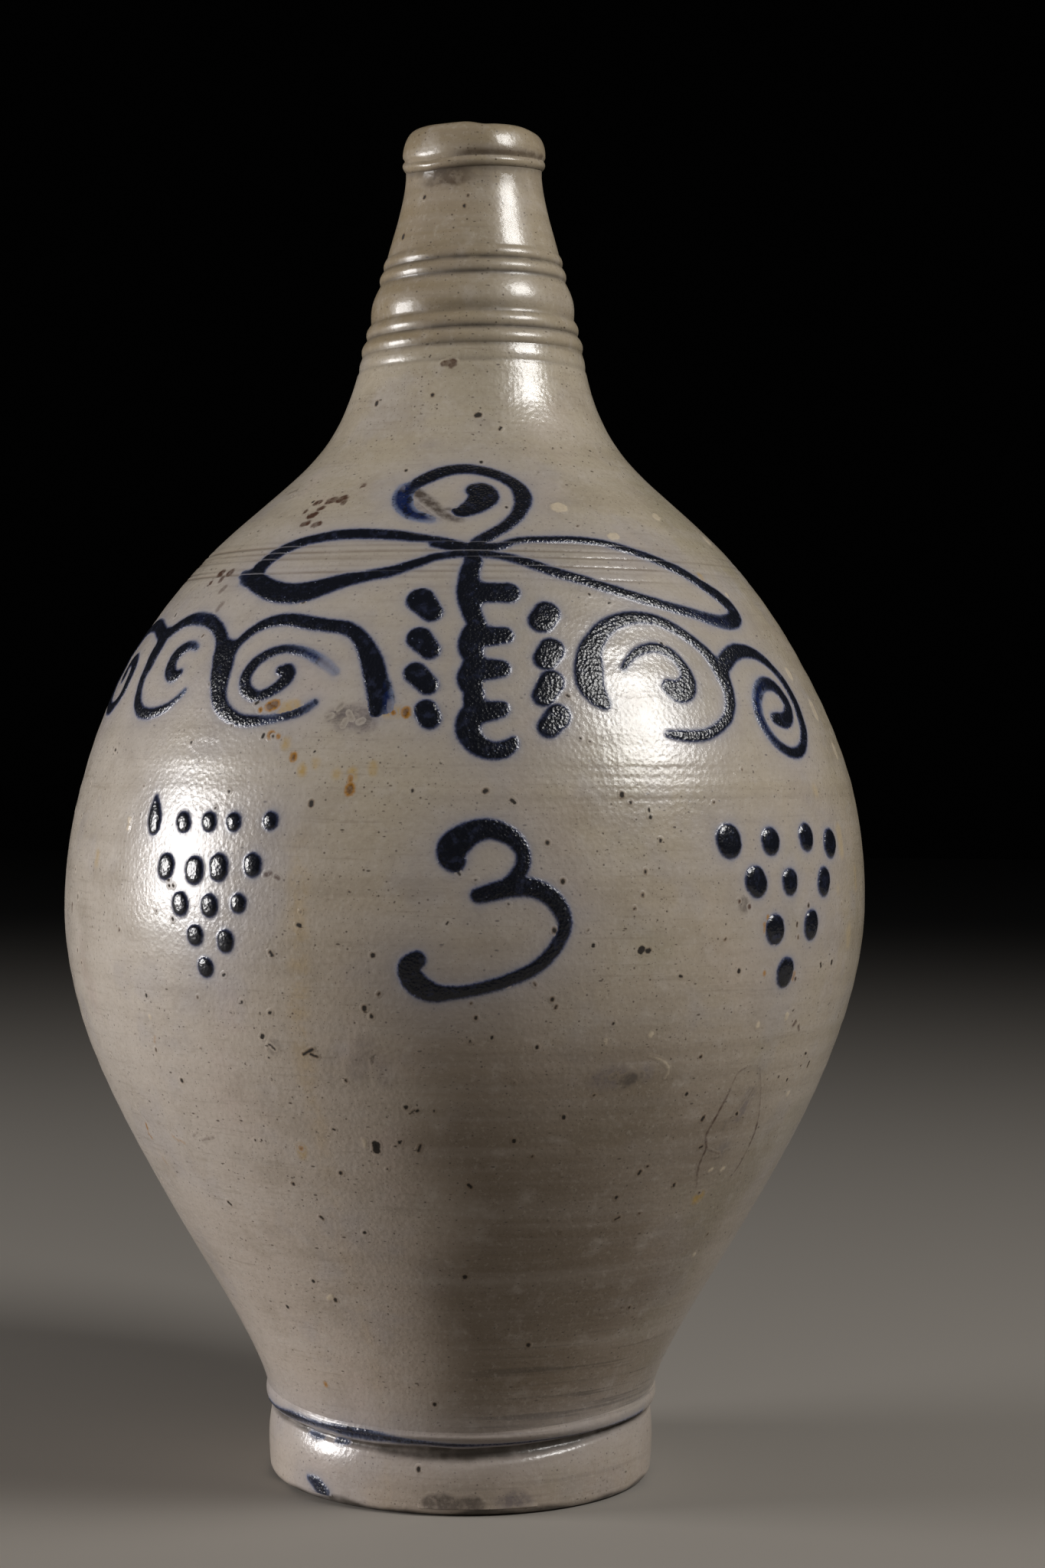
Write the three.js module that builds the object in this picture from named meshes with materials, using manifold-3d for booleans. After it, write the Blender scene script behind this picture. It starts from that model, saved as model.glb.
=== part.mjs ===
// A wheel-thrown stoneware jug for liquids: turned foot, two thrown body sections luted together
// at the belly, a tapering neck with cut cordons, a thickened lip and a pulled strap handle.
// Millimetres, +Z up. The origin is the centre of the foot's underside, on the jug's axis.
// The decorated front faces -Y and the handle is at the back, on +Y.

import * as THREE from 'three';
import { mergeVertices } from 'three/addons/utils/BufferGeometryUtils.js';
import Module from 'manifold-3d';

const wasm = await Module();
wasm.setup();

// Driving dimensions of the outside. The foot and belly are stacked up from the ground, and the lip,
// neck and shoulder down from the jug's height, so the upper body takes what is left between.
const JUG_HEIGHT = 455;

const FOOT_BAND_HEIGHT = 23.2;
const FOOT_BAND_RADIUS = 64.8;
const FOOT_BAND_SWELL = 0.3;
const BASE_EDGE = 3.5;
const FOOT_GROOVE_DEPTH = 0.7;
const FOOT_CORDON_HEIGHT = 9.5;
const FOOT_CORDON_SWELL = 0.9;
const WALL_START_RADIUS = 66;
const WALL_START_FLARE = 0.24;

const BELLY_RISE = 161.5;
const BELLY_RADIUS = 135.2;
const BELLY_JOINT_RISE = 39;

const SHOULDER_RADIUS = 84.3;
const SHOULDER_FALL = 1.02;

const NECK_RISE = 64;
const NECK_BASE_RADIUS = 37.2;
const NECK_TAPER = 0.23;
const CORDON_HEIGHTS = [5.6, 6.4, 12.1, 5, 4.3];
const CORDON_SWELLS = [0.75, 0.75, 1.1, 0.65, 0.5];
const CREASE_DEPTH = 0.35;
const THROAT_HEIGHT = 27.6;
const WAIST_RADIUS = 23.1;
const COLLAR_HEIGHT = 2.5;

const LIP_BEAD_HEIGHT = 4.6;
const LIP_BEAD_SWELL = 0.85;
const LIP_BAND_HEIGHT = 8.7;
const LIP_OVERHANG = 1.2;
const LIP_ROUNDING = 5.6;
const MOUTH_ROUNDING = 3;

// Thickness of the clay.
const WALL = 7;
const NECK_WALL = 8.1;
const FLOOR = 9;
const FLOOR_CORNER = 12;

// The pulled strap handle, from its joint on the throat over to its joint on the shoulder.
const HANDLE_DROP = 17;
const HANDLE_CREST = 10.5;
const HANDLE_FOOT_RISE = 9;
const HANDLE_OVERHANG = 8;
const HANDLE_BURY = 5;
const HANDLE_ROOT_WIDTH = 35;
const HANDLE_WIDTH = 27;
const HANDLE_FOOT_WIDTH = 36;
const HANDLE_ROOT_THICKNESS = 18;
const HANDLE_THICKNESS = 10.5;
const HANDLE_FOOT_THICKNESS = 8;
const HANDLE_GROOVE = 0.9;
const HANDLE_CLEARANCE = 0.3;
const FOOT_PAD = { across: 20, along: 17, thick: 5.5 };

// The strap's bends between its two joints. Each out is a share of the way from the wall to the
// strap's full reach, and each rise a share of the height between two of its points.
const CREST_START = { out: 0.25, rise: 1 };
const CREST_END = { out: 0.65, rise: 0.85 };
const KNUCKLE = { out: 0.92, rise: 0.7 };
const GRIP_MIDDLE = 0.55;
const RETURN = { out: 0.85, rise: 0.42 };

// The strap's section: where its root ends and its foot begins along it, and how square its edges
// and faces are, where 1 is an oval and 0 a box.
const ROOT_END = 0.24;
const FOOT_START = 0.72;
const EDGE_SQUARENESS = 0.7;
const FACE_SQUARENESS = 0.8;

// Fullness of the wall's curves: the length of each tangent as a share of the height it spans.
const FOOT_FULLNESS = 0.173;
const BELLY_FULLNESS_BELOW = 0.396;
const BELLY_FULLNESS_ABOVE = 0.567;
const SHOULDER_FULLNESS_BELOW = 0.075;
const SHOULDER_FULLNESS_ABOVE = 0.5625;
const NECK_FULLNESS = 0.586;
const THROAT_FULLNESS = 0.33;
const BORE_FULLNESS = 0.4;

// Facets.
const TURNS = 56;
const CURVE_STEPS = 60;
const LOWER_BODY_STEPS = 11;
const UPPER_BODY_STEPS = 13;
const FOOT_CORDON_STEPS = 5;
const CORDON_STEPS = 3;
const BEAD_STEPS = 4;
const THROAT_STEPS = 6;
const BORE_STEPS = 5;
const SMALL_ROUND_STEPS = 3;
const LARGE_ROUND_STEPS = 4;
const CUTTER_STEPS = 24;
const HANDLE_STEPS = 22;
const HANDLE_SIDES = 16;
const PAD_SIDES = 18;

// Heights that follow from the two stacks.
const footTop = FOOT_BAND_HEIGHT + FOOT_CORDON_HEIGHT;
const bellyHeight = footTop + BELLY_RISE;
const bellyJoint = bellyHeight + BELLY_JOINT_RISE;
const lipBase = JUG_HEIGHT - LIP_BAND_HEIGHT - LIP_BEAD_HEIGHT;
const waistHeight = lipBase - COLLAR_HEIGHT;
const neckBase = waistHeight - THROAT_HEIGHT - CORDON_HEIGHTS.reduce((sum, height) => sum + height);
const shoulderHeight = neckBase - NECK_RISE;
const upperRise = shoulderHeight - bellyHeight;
const boreRadius = WAIST_RADIUS - NECK_WALL;

function clay(name, colour, roughness) {
  return new THREE.MeshStandardMaterial({ name, color: colour, roughness, metalness: 0 });
}

const bodyClay = clay('salt glazed stoneware', 0x9c917f, 0.32);
const neckClay = clay('salt glazed stoneware, brown washed', 0x8d826f, 0.36);

function along(point, fall, distance) {
  // Moves a point of the profile up its tangent, where fall is the radius lost per unit of height.
  const direction = new THREE.Vector2(-fall, 1).normalize();
  return point.clone().addScaledVector(direction, distance);
}

function wallCurves() {
  const foot = new THREE.Vector2(WALL_START_RADIUS, footTop);
  const belly = new THREE.Vector2(BELLY_RADIUS, bellyHeight);
  const shoulder = new THREE.Vector2(SHOULDER_RADIUS, shoulderHeight);
  const neck = new THREE.Vector2(NECK_BASE_RADIUS, neckBase);
  const curves = new THREE.CurvePath();
  curves.add(new THREE.CubicBezierCurve(
    foot, along(foot, -WALL_START_FLARE, FOOT_FULLNESS * BELLY_RISE),
    along(belly, 0, -BELLY_FULLNESS_BELOW * BELLY_RISE), belly));
  curves.add(new THREE.CubicBezierCurve(
    belly, along(belly, 0, BELLY_FULLNESS_ABOVE * upperRise),
    along(shoulder, SHOULDER_FALL, -SHOULDER_FULLNESS_BELOW * upperRise), shoulder));
  curves.add(new THREE.CubicBezierCurve(
    shoulder, along(shoulder, SHOULDER_FALL, SHOULDER_FULLNESS_ABOVE * NECK_RISE),
    along(neck, NECK_TAPER, -NECK_FULLNESS * NECK_RISE), neck));
  return curves;
}

function sampled(curves) {
  const points = [];
  for (const curve of curves.curves) {
    const part = curve.getPoints(CURVE_STEPS);
    points.push(...(points.length ? part.slice(1) : part));
  }
  return points;
}

function offsetInward(points, distance) {
  return points.map((point, i) => {
    const before = points[Math.max(i - 1, 0)];
    const after = points[Math.min(i + 1, points.length - 1)];
    const tangent = after.clone().sub(before).normalize();
    return new THREE.Vector2(point.x - tangent.y * distance, point.y + tangent.x * distance);
  });
}

function radiusAt(points, height) {
  if (height <= points[0].y) return points[0].x;
  for (let i = 1; i < points.length; i += 1) {
    if (height <= points[i].y) {
      const share = (height - points[i - 1].y) / (points[i].y - points[i - 1].y);
      return THREE.MathUtils.lerp(points[i - 1].x, points[i].x, share);
    }
  }
  return points[points.length - 1].x;
}

const outerWall = sampled(wallCurves());
const innerWall = offsetInward(outerWall, WALL);

function wallStretch(points, from, to, steps) {
  // The wall between two heights, in steps of equal length along its curve.
  const inside = points.filter((point) => point.y > from && point.y < to);
  const ends = [from, to].map((height) => new THREE.Vector2(radiusAt(points, height), height));
  const run = new THREE.CurvePath();
  const all = [ends[0], ...inside, ends[1]];
  for (let i = 1; i < all.length; i += 1) run.add(new THREE.LineCurve(all[i - 1], all[i]));
  const stretch = run.getSpacedPoints(steps);
  return [ends[0], ...stretch.slice(1, steps), ends[1]];
}

function swell(from, to, amount, steps) {
  // A round bulge between two creases, both creases included.
  const bulge = [];
  for (let i = 0; i <= steps; i += 1) {
    const point = from.clone().lerp(to, i / steps);
    point.x += amount * Math.sin(Math.PI * i / steps);
    bulge.push(point);
  }
  return bulge;
}

function quarterRound(centre, radius, startAngle, steps) {
  const arc = [];
  for (let i = 0; i <= steps; i += 1) {
    const angle = startAngle + Math.PI / 2 * i / steps;
    arc.push(new THREE.Vector2(centre.x + radius * Math.cos(angle), centre.y + radius * Math.sin(angle)));
  }
  return arc;
}

function joined(...runs) {
  const outline = [];
  for (const point of runs.flat()) {
    if (!outline.length || outline[outline.length - 1].distanceTo(point) > 1e-4) outline.push(point);
  }
  return outline;
}

function ring(outline) {
  const closed = outline.concat([outline[0].clone()]);
  return welded(new THREE.LatheGeometry(closed, TURNS));
}

function disc(outline) {
  return welded(new THREE.LatheGeometry(outline, TURNS));
}

function welded(geometry) {
  // Lathes turn about +Y, so the jug's axis is stood up along +Z, and doubled seam points are merged.
  geometry.deleteAttribute('normal');
  geometry.deleteAttribute('uv');
  geometry.rotateX(Math.PI / 2);
  const clean = dropSlivers(mergeVertices(geometry, 1e-4));
  return signedVolume(clean) < 0 ? turnedInsideOut(clean) : clean;
}

function dropSlivers(geometry) {
  // Triangles on the axis collapse to a line when their points merge, and are left out.
  const kept = [];
  const index = geometry.getIndex().array;
  for (let i = 0; i < index.length; i += 3) {
    const [a, b, c] = [index[i], index[i + 1], index[i + 2]];
    if (a !== b && b !== c && c !== a) kept.push(a, b, c);
  }
  geometry.setIndex(kept);
  return geometry;
}

function signedVolume(geometry) {
  const position = geometry.getAttribute('position');
  const index = geometry.getIndex().array;
  const corner = [new THREE.Vector3(), new THREE.Vector3(), new THREE.Vector3()];
  let volume = 0;
  for (let i = 0; i < index.length; i += 3) {
    corner.forEach((vector, k) => vector.fromBufferAttribute(position, index[i + k]));
    volume += corner[0].dot(corner[1].cross(corner[2])) / 6;
  }
  return volume;
}

function turnedInsideOut(geometry) {
  const index = geometry.getIndex().array;
  for (let i = 0; i < index.length; i += 3) {
    [index[i + 1], index[i + 2]] = [index[i + 2], index[i + 1]];
  }
  return geometry;
}

function toSolid(geometry) {
  const mesh = new wasm.Mesh({
    numProp: 3,
    vertProperties: Float32Array.from(geometry.getAttribute('position').array),
    triVerts: Uint32Array.from(geometry.getIndex().array),
  });
  return new wasm.Manifold(mesh);
}

function toGeometry(solid) {
  const mesh = solid.getMesh();
  const geometry = new THREE.BufferGeometry();
  geometry.setAttribute('position', new THREE.BufferAttribute(mesh.vertProperties, 3));
  geometry.setIndex(new THREE.BufferAttribute(mesh.triVerts, 1));
  return geometry;
}

function footBase() {
  const corner = new THREE.Vector2(FOOT_BAND_RADIUS - BASE_EDGE, BASE_EDGE);
  const bandFoot = new THREE.Vector2(FOOT_BAND_RADIUS, BASE_EDGE);
  const groove = new THREE.Vector2(FOOT_BAND_RADIUS - FOOT_GROOVE_DEPTH, FOOT_BAND_HEIGHT);
  const top = new THREE.Vector2(WALL_START_RADIUS, footTop);
  const innerTop = new THREE.Vector2(radiusAt(innerWall, footTop), footTop);
  const innerCorner = new THREE.Vector2(innerTop.x - FLOOR_CORNER, FLOOR + FLOOR_CORNER);
  return disc(joined(
    [new THREE.Vector2(0, 0)],
    quarterRound(corner, BASE_EDGE, -Math.PI / 2, SMALL_ROUND_STEPS),
    swell(bandFoot, groove, FOOT_BAND_SWELL, CORDON_STEPS),
    swell(groove, top, FOOT_CORDON_SWELL, FOOT_CORDON_STEPS),
    [innerTop],
    quarterRound(innerCorner, FLOOR_CORNER, -Math.PI / 2, LARGE_ROUND_STEPS).reverse(),
    [new THREE.Vector2(0, FLOOR)],
  ));
}

function bodySection(from, to, steps) {
  const outside = wallStretch(outerWall, from, to, steps);
  const inside = wallStretch(innerWall, from, to, steps).reverse();
  return ring(joined(outside, inside));
}

function neckOutside() {
  // Creases lie on the neck's taper, and each cordon swells between two of them.
  let height = neckBase;
  const creases = [new THREE.Vector2(NECK_BASE_RADIUS, neckBase)];
  for (const rise of CORDON_HEIGHTS) {
    height += rise;
    const radius = NECK_BASE_RADIUS - NECK_TAPER * (height - neckBase) - CREASE_DEPTH;
    creases.push(new THREE.Vector2(radius, height));
  }
  const cordons = CORDON_SWELLS.map((amount, i) => swell(
    creases[i], creases[i + 1], amount, CORDON_STEPS));
  const start = creases[creases.length - 1];
  const waist = new THREE.Vector2(WAIST_RADIUS, waistHeight);
  const pull = THROAT_FULLNESS * THROAT_HEIGHT;
  const throat = new THREE.CubicBezierCurve(
    start, along(start, NECK_TAPER, pull), along(waist, 0, -pull), waist);
  const collar = new THREE.Vector2(WAIST_RADIUS, lipBase);
  return joined(...cordons, throat.getPoints(THROAT_STEPS), [collar]);
}

function neckBore() {
  const base = new THREE.Vector2(radiusAt(innerWall, neckBase), neckBase);
  const narrow = new THREE.Vector2(boreRadius, waistHeight - THROAT_HEIGHT / 3);
  const pull = BORE_FULLNESS * (narrow.y - base.y);
  const bore = new THREE.CubicBezierCurve(
    base, along(base, NECK_TAPER, pull), along(narrow, 0, -pull), narrow);
  return joined(bore.getPoints(BORE_STEPS), [new THREE.Vector2(boreRadius, lipBase)]);
}

function lip() {
  const lipRadius = WAIST_RADIUS + LIP_OVERHANG;
  const mouthRounding = Math.min(MOUTH_ROUNDING, NECK_WALL / 2);
  const outerRounding = Math.min(LIP_ROUNDING, lipRadius - boreRadius - mouthRounding, LIP_BAND_HEIGHT / 1.5);
  const foot = new THREE.Vector2(WAIST_RADIUS, lipBase);
  const beadTop = new THREE.Vector2(WAIST_RADIUS + LIP_OVERHANG / 2, lipBase + LIP_BEAD_HEIGHT);
  const bandFoot = new THREE.Vector2(lipRadius, beadTop.y + LIP_BEAD_SWELL);
  const outerCentre = new THREE.Vector2(lipRadius - outerRounding, JUG_HEIGHT - outerRounding);
  const mouthCentre = new THREE.Vector2(boreRadius + mouthRounding, JUG_HEIGHT - mouthRounding);
  return ring(joined(
    swell(foot, beadTop, LIP_BEAD_SWELL, BEAD_STEPS),
    [bandFoot],
    quarterRound(outerCentre, outerRounding, 0, LARGE_ROUND_STEPS),
    quarterRound(mouthCentre, mouthRounding, Math.PI / 2, SMALL_ROUND_STEPS),
    [new THREE.Vector2(boreRadius, lipBase)],
  ));
}

const neckOutline = neckOutside();

function handleRoute() {
  // Out of the throat, over a crest, and down on to the shoulder, in the plane x = 0.
  const topHeight = waistHeight - HANDLE_DROP;
  const footHeight = shoulderHeight + HANDLE_FOOT_RISE;
  const topOut = radiusAt(neckOutline, topHeight);
  const footOut = radiusAt(outerWall, footHeight);
  const reach = footOut + HANDLE_OVERHANG;
  const { lerp } = THREE.MathUtils;
  const middle = lerp(footHeight, topHeight, GRIP_MIDDLE);
  const at = (out, height) => new THREE.Vector3(0, out, height);
  return new THREE.CatmullRomCurve3([
    at(topOut - HANDLE_BURY, topHeight),
    at(lerp(topOut, reach, CREST_START.out), topHeight + HANDLE_CREST * CREST_START.rise),
    at(lerp(topOut, reach, CREST_END.out), topHeight + HANDLE_CREST * CREST_END.rise),
    at(lerp(topOut, reach, KNUCKLE.out), lerp(middle, topHeight, KNUCKLE.rise)),
    at(reach, middle),
    at(lerp(footOut, reach, RETURN.out), lerp(footHeight, middle, RETURN.rise)),
    at(footOut - HANDLE_BURY, footHeight - HANDLE_BURY),
  ]);
}

function handleSection(share, side) {
  // The pulled strap swells at its root, flattens where its foot is pressed on, and has one
  // shallow groove down its outer face.
  const { lerp, smoothstep } = THREE.MathUtils;
  const atRoot = 1 - smoothstep(share, 0, ROOT_END);
  const atFoot = smoothstep(share, FOOT_START, 1);
  const rootward = lerp(HANDLE_WIDTH, HANDLE_ROOT_WIDTH, atRoot);
  const width = lerp(rootward, HANDLE_FOOT_WIDTH, atFoot);
  const thickened = lerp(HANDLE_THICKNESS, HANDLE_ROOT_THICKNESS, atRoot);
  const thickness = lerp(thickened, HANDLE_FOOT_THICKNESS, atFoot);
  const angle = 2 * Math.PI * side / HANDLE_SIDES;
  const squared = (value, power) => Math.sign(value) * Math.abs(value) ** power;
  const across = width / 2 * squared(Math.cos(angle), EDGE_SQUARENESS);
  const groove = Math.sin(angle) > 0 ? HANDLE_GROOVE * Math.cos(Math.PI * across / width) ** 2 : 0;
  return [across, thickness / 2 * squared(Math.sin(angle), FACE_SQUARENESS) - groove];
}

function strap(route) {
  const corners = [];
  const faces = [];
  for (let step = 0; step <= HANDLE_STEPS; step += 1) {
    const share = step / HANDLE_STEPS;
    const centre = route.getPointAt(share);
    const tangent = route.getTangentAt(share);
    const outward = new THREE.Vector3(0, -tangent.z, tangent.y);
    for (let side = 0; side < HANDLE_SIDES; side += 1) {
      const [across, rise] = handleSection(share, side);
      const corner = centre.clone().addScaledVector(outward, rise);
      corners.push(corner.x + across, corner.y, corner.z);
    }
  }
  for (let step = 0; step < HANDLE_STEPS; step += 1) {
    for (let side = 0; side < HANDLE_SIDES; side += 1) {
      const next = (side + 1) % HANDLE_SIDES;
      const [a, b] = [step * HANDLE_SIDES + side, step * HANDLE_SIDES + next];
      const [c, d] = [a + HANDLE_SIDES, b + HANDLE_SIDES];
      faces.push(a, b, d, a, d, c);
    }
  }
  const last = HANDLE_STEPS * HANDLE_SIDES;
  for (let side = 1; side < HANDLE_SIDES - 1; side += 1) {
    faces.push(0, side + 1, side);
    faces.push(last, last + side, last + side + 1);
  }
  const geometry = new THREE.BufferGeometry();
  geometry.setAttribute('position', new THREE.Float32BufferAttribute(corners, 3));
  geometry.setIndex(faces);
  return signedVolume(geometry) < 0 ? turnedInsideOut(geometry) : geometry;
}

function pressedPad(size, points, height) {
  // The clay smeared on to the wall at a handle joint: a flat oval lying on the wall's slope.
  const centre = new THREE.Vector2(radiusAt(points, height), height);
  const topEdge = height + size.along / 2;
  const slope = Math.atan2(centre.x - radiusAt(points, topEdge), topEdge - height);
  const oval = new THREE.SphereGeometry(1, PAD_SIDES, PAD_SIDES * 2 / 3);
  oval.scale(size.across, size.thick, size.along);
  oval.rotateX(slope);
  oval.translate(0, centre.x, centre.y);
  oval.deleteAttribute('normal');
  oval.deleteAttribute('uv');
  return toSolid(mergeVertices(oval, 1e-4));
}

function handle() {
  // The handle is cut back to the jug's outside, so that its ends follow the neck and the shoulder.
  const shoulderStretch = wallStretch(outerWall, bellyHeight, neckBase, CUTTER_STEPS);
  const cutterOutline = joined(
    [new THREE.Vector2(0, bellyHeight)],
    offsetInward(shoulderStretch, -HANDLE_CLEARANCE),
    offsetInward(neckOutline, -HANDLE_CLEARANCE).slice(1),
    [new THREE.Vector2(0, lipBase)],
  );
  const whole = toSolid(strap(handleRoute()))
    .add(pressedPad(FOOT_PAD, outerWall, shoulderHeight + HANDLE_FOOT_RISE));
  return toGeometry(largest(whole.subtract(toSolid(disc(cutterOutline)))));
}

function largest(solid) {
  return solid.decompose().sort((a, b) => b.volume() - a.volume())[0];
}

function named(name, geometry, material) {
  const mesh = new THREE.Mesh(geometry, material);
  mesh.name = name;
  return mesh;
}

const jug = new THREE.Group();
jug.add(named('foot_base', footBase(), bodyClay));
jug.add(named('lower_body', bodySection(footTop, bellyJoint, LOWER_BODY_STEPS), bodyClay));
jug.add(named('upper_body', bodySection(bellyJoint, neckBase, UPPER_BODY_STEPS), bodyClay));
jug.add(named('neck', ring(joined(neckOutline, neckBore().reverse())), neckClay));
jug.add(named('lip', lip(), neckClay));
jug.add(named('handle', handle(), bodyClay));

export default jug;
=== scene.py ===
# The looks of a salt-glazed stoneware jug with trailed cobalt decoration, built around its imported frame.
# Lengths named here are millimetres and angles are degrees round the jug: 0 faces the viewer on -Y,
# positive is to the viewer's right, and 180 is the handle's side on +Y. Blender objects are in metres.
import math
import random
from collections import namedtuple

import bmesh
import bpy
import numpy as np
from mathutils import Matrix, Vector, noise


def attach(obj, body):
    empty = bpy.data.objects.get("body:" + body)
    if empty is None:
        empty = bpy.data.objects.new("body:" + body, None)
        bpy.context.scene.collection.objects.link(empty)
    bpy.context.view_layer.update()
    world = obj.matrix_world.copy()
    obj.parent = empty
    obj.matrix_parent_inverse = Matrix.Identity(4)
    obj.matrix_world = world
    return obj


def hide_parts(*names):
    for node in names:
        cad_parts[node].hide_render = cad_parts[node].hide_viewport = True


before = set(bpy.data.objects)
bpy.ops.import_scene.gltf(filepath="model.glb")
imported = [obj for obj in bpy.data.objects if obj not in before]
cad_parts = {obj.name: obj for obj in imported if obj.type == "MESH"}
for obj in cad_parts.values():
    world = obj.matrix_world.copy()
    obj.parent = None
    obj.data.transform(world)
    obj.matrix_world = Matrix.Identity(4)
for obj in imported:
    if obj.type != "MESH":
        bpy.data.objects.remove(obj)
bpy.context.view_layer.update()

MM = 0.001

# The photograph's camera, with its focal length in the photograph's pixels and its turns in degrees.
PHOTO_HEIGHT = 2048
FOCAL_PIXELS = 3800
SENSOR = 36
CAMERA_PLACE = (0, -0.99196, 0.25143)
CAMERA_YAW = 1.0799
CAMERA_PITCH = -1.01
CAMERA_ROLL = 0.5991

# The jug's outside. It is that of the solids, except that the foot's band and the neck's cordons are a
# little fuller, one of the creases is 1 mm lower, and the lip's bead, the lip's side and the taper of the
# waist follow the photographed jug.
JUG_HEIGHT = 455
FOOT_BAND_HEIGHT = 23.2
FOOT_BAND_RADIUS = 64.8
FOOT_TOP = 32.7
BASE_EDGE = 3.5
FOOT_BAND_SWELL = 0.5
FOOT_BAND_LEAN = 0.1
FOOT_CORDON_SWELL = 0.9
WALL_START = (66, FOOT_TOP)
WALL_START_FLARE = 0.24
BELLY = (135.2, 194.2)
BELLY_JOINT = 233.2
SHOULDER = (84.3, 314.2)
SHOULDER_FALL = 1.02
NECK_BASE = (37.2, 378.2)
NECK_TAPER = 0.23
FOOT_FULLNESS = 0.173
BELLY_FULLNESS_BELOW = 0.396
BELLY_FULLNESS_ABOVE = 0.567
SHOULDER_FULLNESS_BELOW = 0.075
SHOULDER_FULLNESS_ABOVE = 0.5625
NECK_FULLNESS = 0.586
CORDON_HEIGHTS = (5.6, 5.4, 13.1, 5, 4.3)
CORDON_SWELLS = (0.95, 0.95, 1.25, 0.85, 0.65)
CREASE_DEPTH = 0.35
# How dark each crease of the neck is made, from the neck's base up: partly grime and partly painted shade.
CREASE_GRIME_AND_SHADE = (0.6, 0.95, 0.35, 0.95, 0.9, 0.12)
WAIST = (23.1, 439.2)
WAIST_TAPER = 0.08
WAIST_FULLNESS = 0.33
LIP_BASE = 441.7
LIP_BEAD_HEIGHT = 3.5
LIP_BEAD_SWELL = 0.85
LIP_OVERHANG = 1.2
LIP_TAPER_FROM = 446.5
LIP_TAPER_TURN = (24.3, 451.2)
LIP_TOP_TURN = (22.4, 455)
MOUTH_ROUNDING = 3
# The bore narrows in a curve, with two pulls, to its straight part.
BORE_RADIUS = 15
BORE_STRAIGHT_FROM = 430
BORE_PULL_HEIGHTS = (398, 410)
BORE_PULL_IN = 5
WALL = 7
FLOOR = 9
FLOOR_CORNER = 12

# The handle, as it is in the solids.
HANDLE_TOP = 422.2
HANDLE_FOOT = 323.2
HANDLE_CREST = 10.5
HANDLE_OVERHANG = 8
HANDLE_BURY = 5
HANDLE_ROOT_WIDTH = 35
HANDLE_WIDTH = 27
HANDLE_FOOT_WIDTH = 36
HANDLE_ROOT_THICKNESS = 18
HANDLE_THICKNESS = 10.5
HANDLE_FOOT_THICKNESS = 8
HANDLE_GROOVE = 0.9
FOOT_PAD = (20, 5.5, 17)
ROOT_PAD = (18.5, 5.5, 12.5)
ROOT_PAD_TIP = 0.1
HANDLE_ROOT_END = 0.24
HANDLE_FOOT_START = 0.72
# The strap's bends: how far out each is, as a share of its full reach, and how far up, as a share of the
# height that it spans. Then how square its edges and faces are, where 1 is an oval and 0 a box.
CREST_START_OUT = 0.25
CREST_END = (0.65, 0.85)
KNUCKLE = (0.92, 0.7)
GRIP_MIDDLE = 0.55
RETURN = (0.85, 0.42)
EDGE_SQUARENESS = 0.7
FACE_SQUARENESS = 0.8
HANDLE_STEPS = 110
HANDLE_SIDES = 56
PULLED_LINES = 0.3
HANDLE_SWAY = 0.5
HANDLE_ROUGHNESS = 0.22
# The thumb's press at the foot of the strap: its depth, half width and half height.
THUMB_PRESS = (1.6, 7.5, 6.5)
HANDLE_VOXEL = 0.9
HANDLE_SMOOTHING = 13
SHELL_BITE = 0.8

# How finely the shells are divided: columns round the jug, and the spacing of the rows. Rows are closest on
# the lines wiped on the shoulder, and close on those of the belly and where the neck begins.
WALL_COLUMNS = 420
NECK_COLUMNS = 288
INSIDE_SPACING = 9
OUTSIDE_SPACING = 1.25
CLOSE_SPACING = 0.55
CLOSEST_SPACING = 0.3
SHOULDER_ROWS = (298, 312.5)
BELLY_ROWS = (230, 245)
NECK_ROWS_FROM = 369
EDGE_STEPS = 9
LIP_BEAD_STEPS = 14


def bell(off, half):
    """1 where off is 0, falling smoothly to a third at half."""
    return np.exp(-(off / half) ** 2)


def portion(high, low, span):
    """How much of a span lies between two places, from 0 to 1."""
    return np.clip((high - low) / span, 0, 1)


def lerp(start, end, share):
    return start + (end - start) * share


def bezier(start, start_pull, end_pull, end, steps=400):
    t = np.linspace(0, 1, steps)[:, None]
    a, b, c, d = (np.array(p, float) for p in (start, start_pull, end_pull, end))
    return (1 - t) ** 3 * a + 3 * (1 - t) ** 2 * t * b + 3 * (1 - t) * t * t * c + t ** 3 * d


def along(point, fall, distance):
    """A place further up the profile's tangent, where fall is the radius lost per unit of height."""
    direction = np.array([-fall, 1.0])
    return np.array(point, float) + direction / np.linalg.norm(direction) * distance


def swell(start, end, amount, steps):
    """A straight run that swells outward by an amount in its middle."""
    t = np.linspace(0, 1, steps)
    line = np.outer(1 - t, start) + np.outer(t, end)
    line[:, 0] += amount * np.sin(np.pi * t)
    return line


def quarter(centre, radius, start_angle, steps):
    angle = np.radians(start_angle) + np.linspace(0, np.pi / 2, steps)
    return np.column_stack([centre[0] + radius * np.cos(angle), centre[1] + radius * np.sin(angle)])


def joined(*runs):
    """One line from several, without the points that they share."""
    points = np.vstack(runs)
    keep = np.ones(len(points), bool)
    keep[1:] = np.linalg.norm(np.diff(points, axis=0), axis=1) > 1e-4
    return points[keep]


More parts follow.
